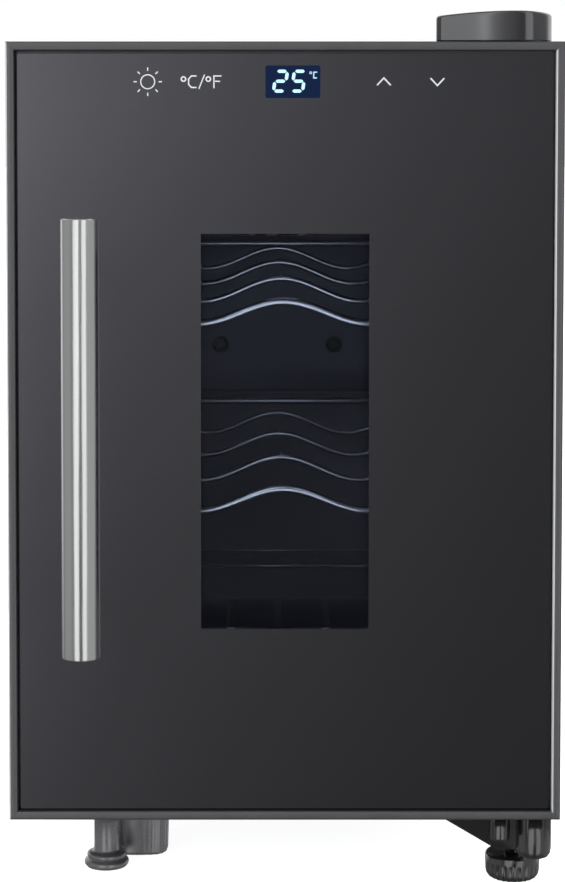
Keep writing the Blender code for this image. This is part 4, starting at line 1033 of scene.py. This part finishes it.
def shelf(label):
    body = label + "_shelf"
    for number in range(1, 5):
        node = f"{label}_shelf_wave_{number}"
        _, (front, back), (_, high) = reach(node)
        radius = (back - front) / 2
        shape = tube(wave_line(label, number, middle((front, back)), radius), radius, 16)
        if number in (2, 3):
            merge(shape, turned([(0.01, high - 1.0), (0.9, high - 0.9), (0.9, high + 0.3),
                                 (0.6, high + 0.8), (0.01, high + 1.0)],
                                (0.0, middle((front, back))), sides=20))
        wire = make(f"{label}_wave_wire_{number}", shape, CHROME, angle=50.0)
        fit(wire, body, node, node)
    node = body + "_frame"
    (x0, x1), (front, back), (low, high) = reach(node)
    radius = 2.0
    side, bend = x1 - radius, 8.0
    rail = low + radius
    slope = SHELF_SLOPES[label]
    rear, crest = back - radius, high - radius
    straight = 260.0
    path = [(-side, front + straight * k / 9, rail + slope * straight * k / 9) for k in range(10)]
    knee = front + straight
    for k in range(1, 7):
        t = k / 6
        ease = t * t * (3 - 2 * t)
        path.append((-side + bend * 0.5 * ease, knee + (rear - 4.0 - knee) * t,
                     rail + slope * straight + (crest - rail - slope * straight) * ease))
    path += [(-side + bend, rear - 1.0, crest), (-side + bend * 1.6, rear, crest)]
    path += [(-side + bend * 1.6 + (2 * side - bend * 3.2) * k / 12, rear, crest)
             for k in range(1, 12)]
    mirrored = [(-px, pd, pz) for px, pd, pz in reversed(path[:18])]
    frame = make(label + "_shelf_rails", tube(path + mirrored, radius, 16), CHROME, angle=50.0)
    fit(frame, body, node, node)


# ---------------------------------------------------------------- feet

def rear_feet():
    for node in ("rear_foot_left", "rear_foot_right"):
        (x0, x1), (d0, d1), (low, high) = reach(node)
        r = (x1 - x0) / 2
        profile = [(0.01, high), (r, high), (r - 0.5, high * 0.6), (r - 1.3, 5.0)]
        profile += [(r - 4.4 + 3.1 * math.cos(a), 3.1 - 3.1 * math.sin(a))
                    for a in (math.radians(k * 22.5) for k in range(5))]
        profile += [(r - 6.0, 0.0), (0.01, 0.0)]
        foot = make(node + "_moulding", turned(profile, (middle((x0, x1)), middle((d0, d1)))),
                    SATIN_GREY, angle=50.0)
        fit(foot, "cabinet", node, node)


def front_foot():
    """Moulded block with full corners and fine flutes that narrows to its flat bottom."""
    (x0, x1), (d0, d1), (low, high) = reach("front_fixed_foot")
    centre, half = (middle((x0, x1)), middle((d0, d1))), ((x1 - x0) / 2, (d1 - d0) / 2)
    fullness = 2 / 3.4

    def ring(inset, z):
        narrow = 0.93 + 0.07 * (z - low) / (high - low)
        points = []
        for k in range(180):
            angle = math.tau * k / 180
            c, n = math.cos(angle), math.sin(angle)
            flute = inset + 0.12 * (1.0 - math.cos(20.0 * angle))
            across, back = half[0] * narrow - flute, half[1] * narrow - flute
            points.append((centre[0] + math.copysign(abs(c) ** fullness, c) * across,
                           centre[1] + math.copysign(abs(n) ** fullness, n) * back, z))
        return points

    rounding = 2.0
    rings = [ring(rounding * (1 - math.sin(a)), low + rounding * (1 - math.cos(a)))
             for a in (math.radians(k * 18.0) for k in range(6))]
    rings += [ring(0.0, z) for z in (8.0, 20.0, high)]
    foot = make("front_foot_moulding", skin(rings), SATIN_GREY, angle=50.0)
    fit(foot, "cabinet", "front_fixed_foot", "front_fixed_foot")


def foot_plate():
    x, depth, z = reach("left_foot_plate")
    plate = make("levelling_foot_mount", block(x, depth, z), SATIN_GREY, bevel=2.6)
    foot_x, foot_d, _ = reach("levelling_foot_left")
    spot = (middle(foot_x), middle(foot_d))
    change(plate, [plug(6.5, (z[0] - 2.0, 35.0), spot, "z", 64)])
    fit(plate, "cabinet", "left_foot_plate", "left_foot_plate")


def left_levelling_foot():
    """A round column with a collar, on a flange with two rounded steps."""
    x, depth, (_, top) = reach("levelling_foot_left")
    r = (x[1] - x[0]) / 2
    flange = 10.7
    profile = [(0.01, 0.0), (8.4, 0.0), (9.6, 0.35)] + arc((flange - 1.8, 2.3), 1.8, -45.0, 70.0, 6)
    profile += [(9.1, 4.2), (8.9, 4.5)] + arc((8.2, 5.9), 1.2, -35.0, 80.0, 5)
    profile += [(7.4, 7.4), (6.5, 7.7), (6.1, 8.4), (5.95, 12.0), (5.95, 22.6), (6.3, 23.0)]
    profile += [(r - 0.6, 25.3), (r, 25.7), (r, 26.2), (r - 0.5, 26.6), (5.95, 26.6)]
    profile += [(5.95, top - 0.6), (5.3, top), (0.01, top)]
    foot = make("levelling_foot_column", turned(profile, (middle(x), middle(depth))), SATIN_GREY,
                angle=50.0)
    fit(foot, "left_foot", "levelling_foot_left", "levelling_foot_left")


def right_levelling_foot():
    """A ribbed knob with a plain shoulder, rounded edges and a threaded stud."""
    x, depth, (_, top) = reach("levelling_foot_right")
    r, knob_top = (x[1] - x[0]) / 2, 12.3
    spot = (middle(x), middle(depth))
    profile = [(0.01, 0.0), (r - 3.9, 0.0), (r - 2.4, 0.35), (r - 1.2, 1.2), (r - 0.5, 2.5),
               (r - 0.2, 4.2), (r - 0.1, 7.6), (r - 0.05, 8.2), (r, 9.0), (r, 10.6),
               (r - 0.3, 11.5), (r - 1.0, 12.1), (r - 2.0, knob_top), (0.01, knob_top)]

    def ribs(radius, along, angle):
        if radius < 9.0 or along > 8.0:
            return radius
        return radius - 0.5 * min(1.0, (8.0 - along) / 0.6) * (0.5 - 0.5 * math.cos(24.0 * angle))

    shape = turned(profile, spot, sides=240, wobble=ribs)
    stud = [(0.01, knob_top - 1.0)]
    turns = 14
    for k in range(turns):
        z = knob_top - 0.5 + k * 1.5
        stud += [(3.5, z), (4.0, z + 0.75)]
    stud = [p for p in stud if p[1] < top - 0.3] + [(3.6, top), (0.01, top)]
    merge(shape, turned(stud, spot, sides=32))
    foot = make("ribbed_levelling_knob", shape, GLOSS_PAINT, angle=45.0)
    fit(foot, "right_foot", "levelling_foot_right", "levelling_foot_right")


# ---------------------------------------------------------------- stage, light and camera

def stage():
    floor_look = bpy.data.materials.new("studio_floor")
    floor_look.use_nodes = True
    shader = floor_look.node_tree.nodes["Principled BSDF"]
    shader.inputs["Base Color"].default_value = (0.8, 0.8, 0.8, 1.0)
    shader.inputs["Roughness"].default_value = 1.0
    shader.inputs["Specular IOR Level"].default_value = 0.0
    shader.inputs["Emission Color"].default_value = (1.0, 1.0, 1.0, 1.0)
    shader.inputs["Emission Strength"].default_value = 0.9
    shape = bmesh.new()
    bmesh.ops.create_grid(shape, x_segments=1, y_segments=1, size=14.0)
    mesh = bpy.data.meshes.new("studio_floor")
    shape.to_mesh(mesh)
    shape.free()
    floor = bpy.data.objects.new("studio_floor", mesh)
    mesh.materials.append(floor_look)
    floor.visible_glossy = False
    bpy.context.scene.collection.objects.link(floor)


def card(name, place, target, size, power, colour=(1.0, 1.0, 1.0)):
    """A soft box that faces the target and doesn't show in reflections."""
    light = bpy.data.lights.new(name, "AREA")
    light.shape = "RECTANGLE"
    light.size, light.size_y = size
    light.energy = power
    light.color = colour
    obj = bpy.data.objects.new(name, light)
    obj.location = place
    obj.rotation_euler = (Vector(target) - Vector(place)).to_track_quat("-Z", "Y").to_euler()
    obj.visible_glossy = False
    bpy.context.scene.collection.objects.link(obj)
    return obj


def lights():
    aim = (0.0, -0.15, 0.22)
    card("key_softbox", (-1.5, -2.0, 1.4), aim, (1.4, 1.4), 45.0)
    card("overhead_softbox", (0.0, 0.2, 2.3), aim, (2.4, 2.4), 45.0)
    card("back_softbox", (1.0, 2.3, 1.3), aim, (2.0, 1.4), 22.0)
    card("cabin_lamp", at(0.0, 82.0, 346.0), at(0.0, 250.0, 200.0), (0.04, 0.012), 0.05,
         (0.88, 0.92, 1.0))


# Strip lights of the studio around the part: azimuth from the front, elevation, half widths,
# edge softness (all degrees) and strength.
STUDIO_LIGHTS = (
    (-22.5, 10.0, 14.5, 55.0, 2.0, 1.3),
    (26.5, 10.0, 13.5, 55.0, 2.5, 1.2),
    (-80.0, 15.0, 32.0, 50.0, 14.0, 0.28),
    (62.0, 10.0, 25.0, 55.0, 18.0, 0.35),
    (110.0, 10.0, 25.0, 55.0, 15.0, 0.3),
    (-150.0, 25.0, 26.0, 40.0, 14.0, 1.1),
    (140.0, 25.0, 26.0, 40.0, 14.0, 1.1),
)
STUDIO_BASE = 0.17
STUDIO_TOP = 0.2
# The dim screen straight in front: strength, and how fast it fades to the right and downwards.
SCREEN = 0.47
SCREEN_FADE_RIGHT = 0.12
SCREEN_FADE_DOWN = 0.07


def world():
    """White where it is seen directly, and a studio with strip lights where it gives light."""
    made = bpy.data.worlds.new("studio")
    made.use_nodes = True
    nodes, links = made.node_tree.nodes, made.node_tree.links

    def feed(node, index, value):
        if isinstance(value, (int, float)):
            node.inputs[index].default_value = value
        else:
            links.new(value, node.inputs[index])

    def calculate(operation, *values):
        node = nodes.new("ShaderNodeMath")
        node.operation = operation
        for index, value in enumerate(values):
            feed(node, index, value)
        return node.outputs[0]

    def window(angle, centre, half, soft):
        away = calculate("ABSOLUTE", calculate("SUBTRACT", angle, centre))
        node = nodes.new("ShaderNodeMapRange")
        node.interpolation_type = "SMOOTHSTEP"
        for name, value in (("From Min", half + soft), ("From Max", max(0.0, half - soft)),
                            ("To Min", 0.0), ("To Max", 1.0)):
            node.inputs[name].default_value = value
        links.new(away, node.inputs["Value"])
        return node.outputs["Result"]

    direction = nodes.new("ShaderNodeTexCoord")
    split = nodes.new("ShaderNodeSeparateXYZ")
    links.new(direction.outputs["Generated"], split.inputs[0])
    x, y, z = split.outputs
    azimuth = calculate("DEGREES", calculate("ARCTAN2", x, calculate("MULTIPLY", y, -1.0)))
    elevation = calculate("DEGREES", calculate("ARCSINE", z))
    across = calculate("MAXIMUM", calculate("MINIMUM", azimuth, 10.0), -10.0)
    down = calculate("MAXIMUM", calculate("MINIMUM", elevation, 0.0), -30.0)
    fade = calculate("ADD", calculate("MULTIPLY", across, -SCREEN_FADE_RIGHT),
                     calculate("MULTIPLY", down, SCREEN_FADE_DOWN))
    screen = calculate("SUBTRACT", calculate("MULTIPLY", calculate("EXPONENT", fade), SCREEN),
                       STUDIO_BASE)
    total = calculate("MULTIPLY", screen, window(azimuth, 0.0, 11.0, 3.0))
    total = calculate("ADD", total, STUDIO_BASE)
    total = calculate("ADD", total,
                      calculate("MULTIPLY", window(elevation, 90.0, 40.0, 25.0), STUDIO_TOP))
    for az, el, half_az, half_el, soft, strength in STUDIO_LIGHTS:
        lobe = calculate("MULTIPLY", window(azimuth, az, half_az, soft),
                         window(elevation, el, half_el, max(soft, 14.0)))
        total = calculate("ADD", total, calculate("MULTIPLY", lobe, strength))
    studio = nodes.new("ShaderNodeBackground")
    studio.inputs["Color"].default_value = (0.97, 0.98, 1.0, 1.0)
    links.new(total, studio.inputs["Strength"])
    shown = nodes["Background"]
    shown.inputs["Color"].default_value = (1.0, 1.0, 1.0, 1.0)
    path = nodes.new("ShaderNodeLightPath")
    choose = nodes.new("ShaderNodeMixShader")
    links.new(path.outputs["Is Camera Ray"], choose.inputs[0])
    links.new(studio.outputs[0], choose.inputs[1])
    links.new(shown.outputs[0], choose.inputs[2])
    links.new(choose.outputs[0], nodes["World Output"].inputs["Surface"])
    bpy.context.scene.world = made


def camera():
    """Front view from just under the top of the door, framed downwards."""
    distance, height, pitch, sideways = 1050.0, 362.9, 3.0, -15.0
    lens = bpy.data.cameras.new("camera")
    lens.lens = 95.16
    lens.sensor_width = 36.0
    lens.shift_x = 0.0347
    lens.shift_y = -0.235
    lens.clip_start = 0.05
    obj = bpy.data.objects.new("camera", lens)
    obj.location = at(sideways, -distance, height)
    obj.rotation_euler = (math.radians(90.0 - pitch), 0.0, 0.0)
    bpy.context.scene.collection.objects.link(obj)
    bpy.context.scene.camera = obj
    bpy.context.scene.view_settings.view_transform = "Standard"


def build():
    dress_nodes()
    door_frame()
    glass_panel()
    touch_symbols()
    display()
    handle()
    inner_panel()
    gasket()
    hinge_cap()
    hinge_bracket()
    wrap()
    liner()
    air_cover()
    back_panel()
    guard()
    fan("cold", 5, 0.38)
    fan("hot", 7, 0.4)
    inlet()
    shelf("upper")
    shelf("lower")
    rear_feet()
    front_foot()
    foot_plate()
    left_levelling_foot()
    right_levelling_foot()
    stage()
    lights()
    world()
    camera()


build()
bpy.context.view_layer.update()
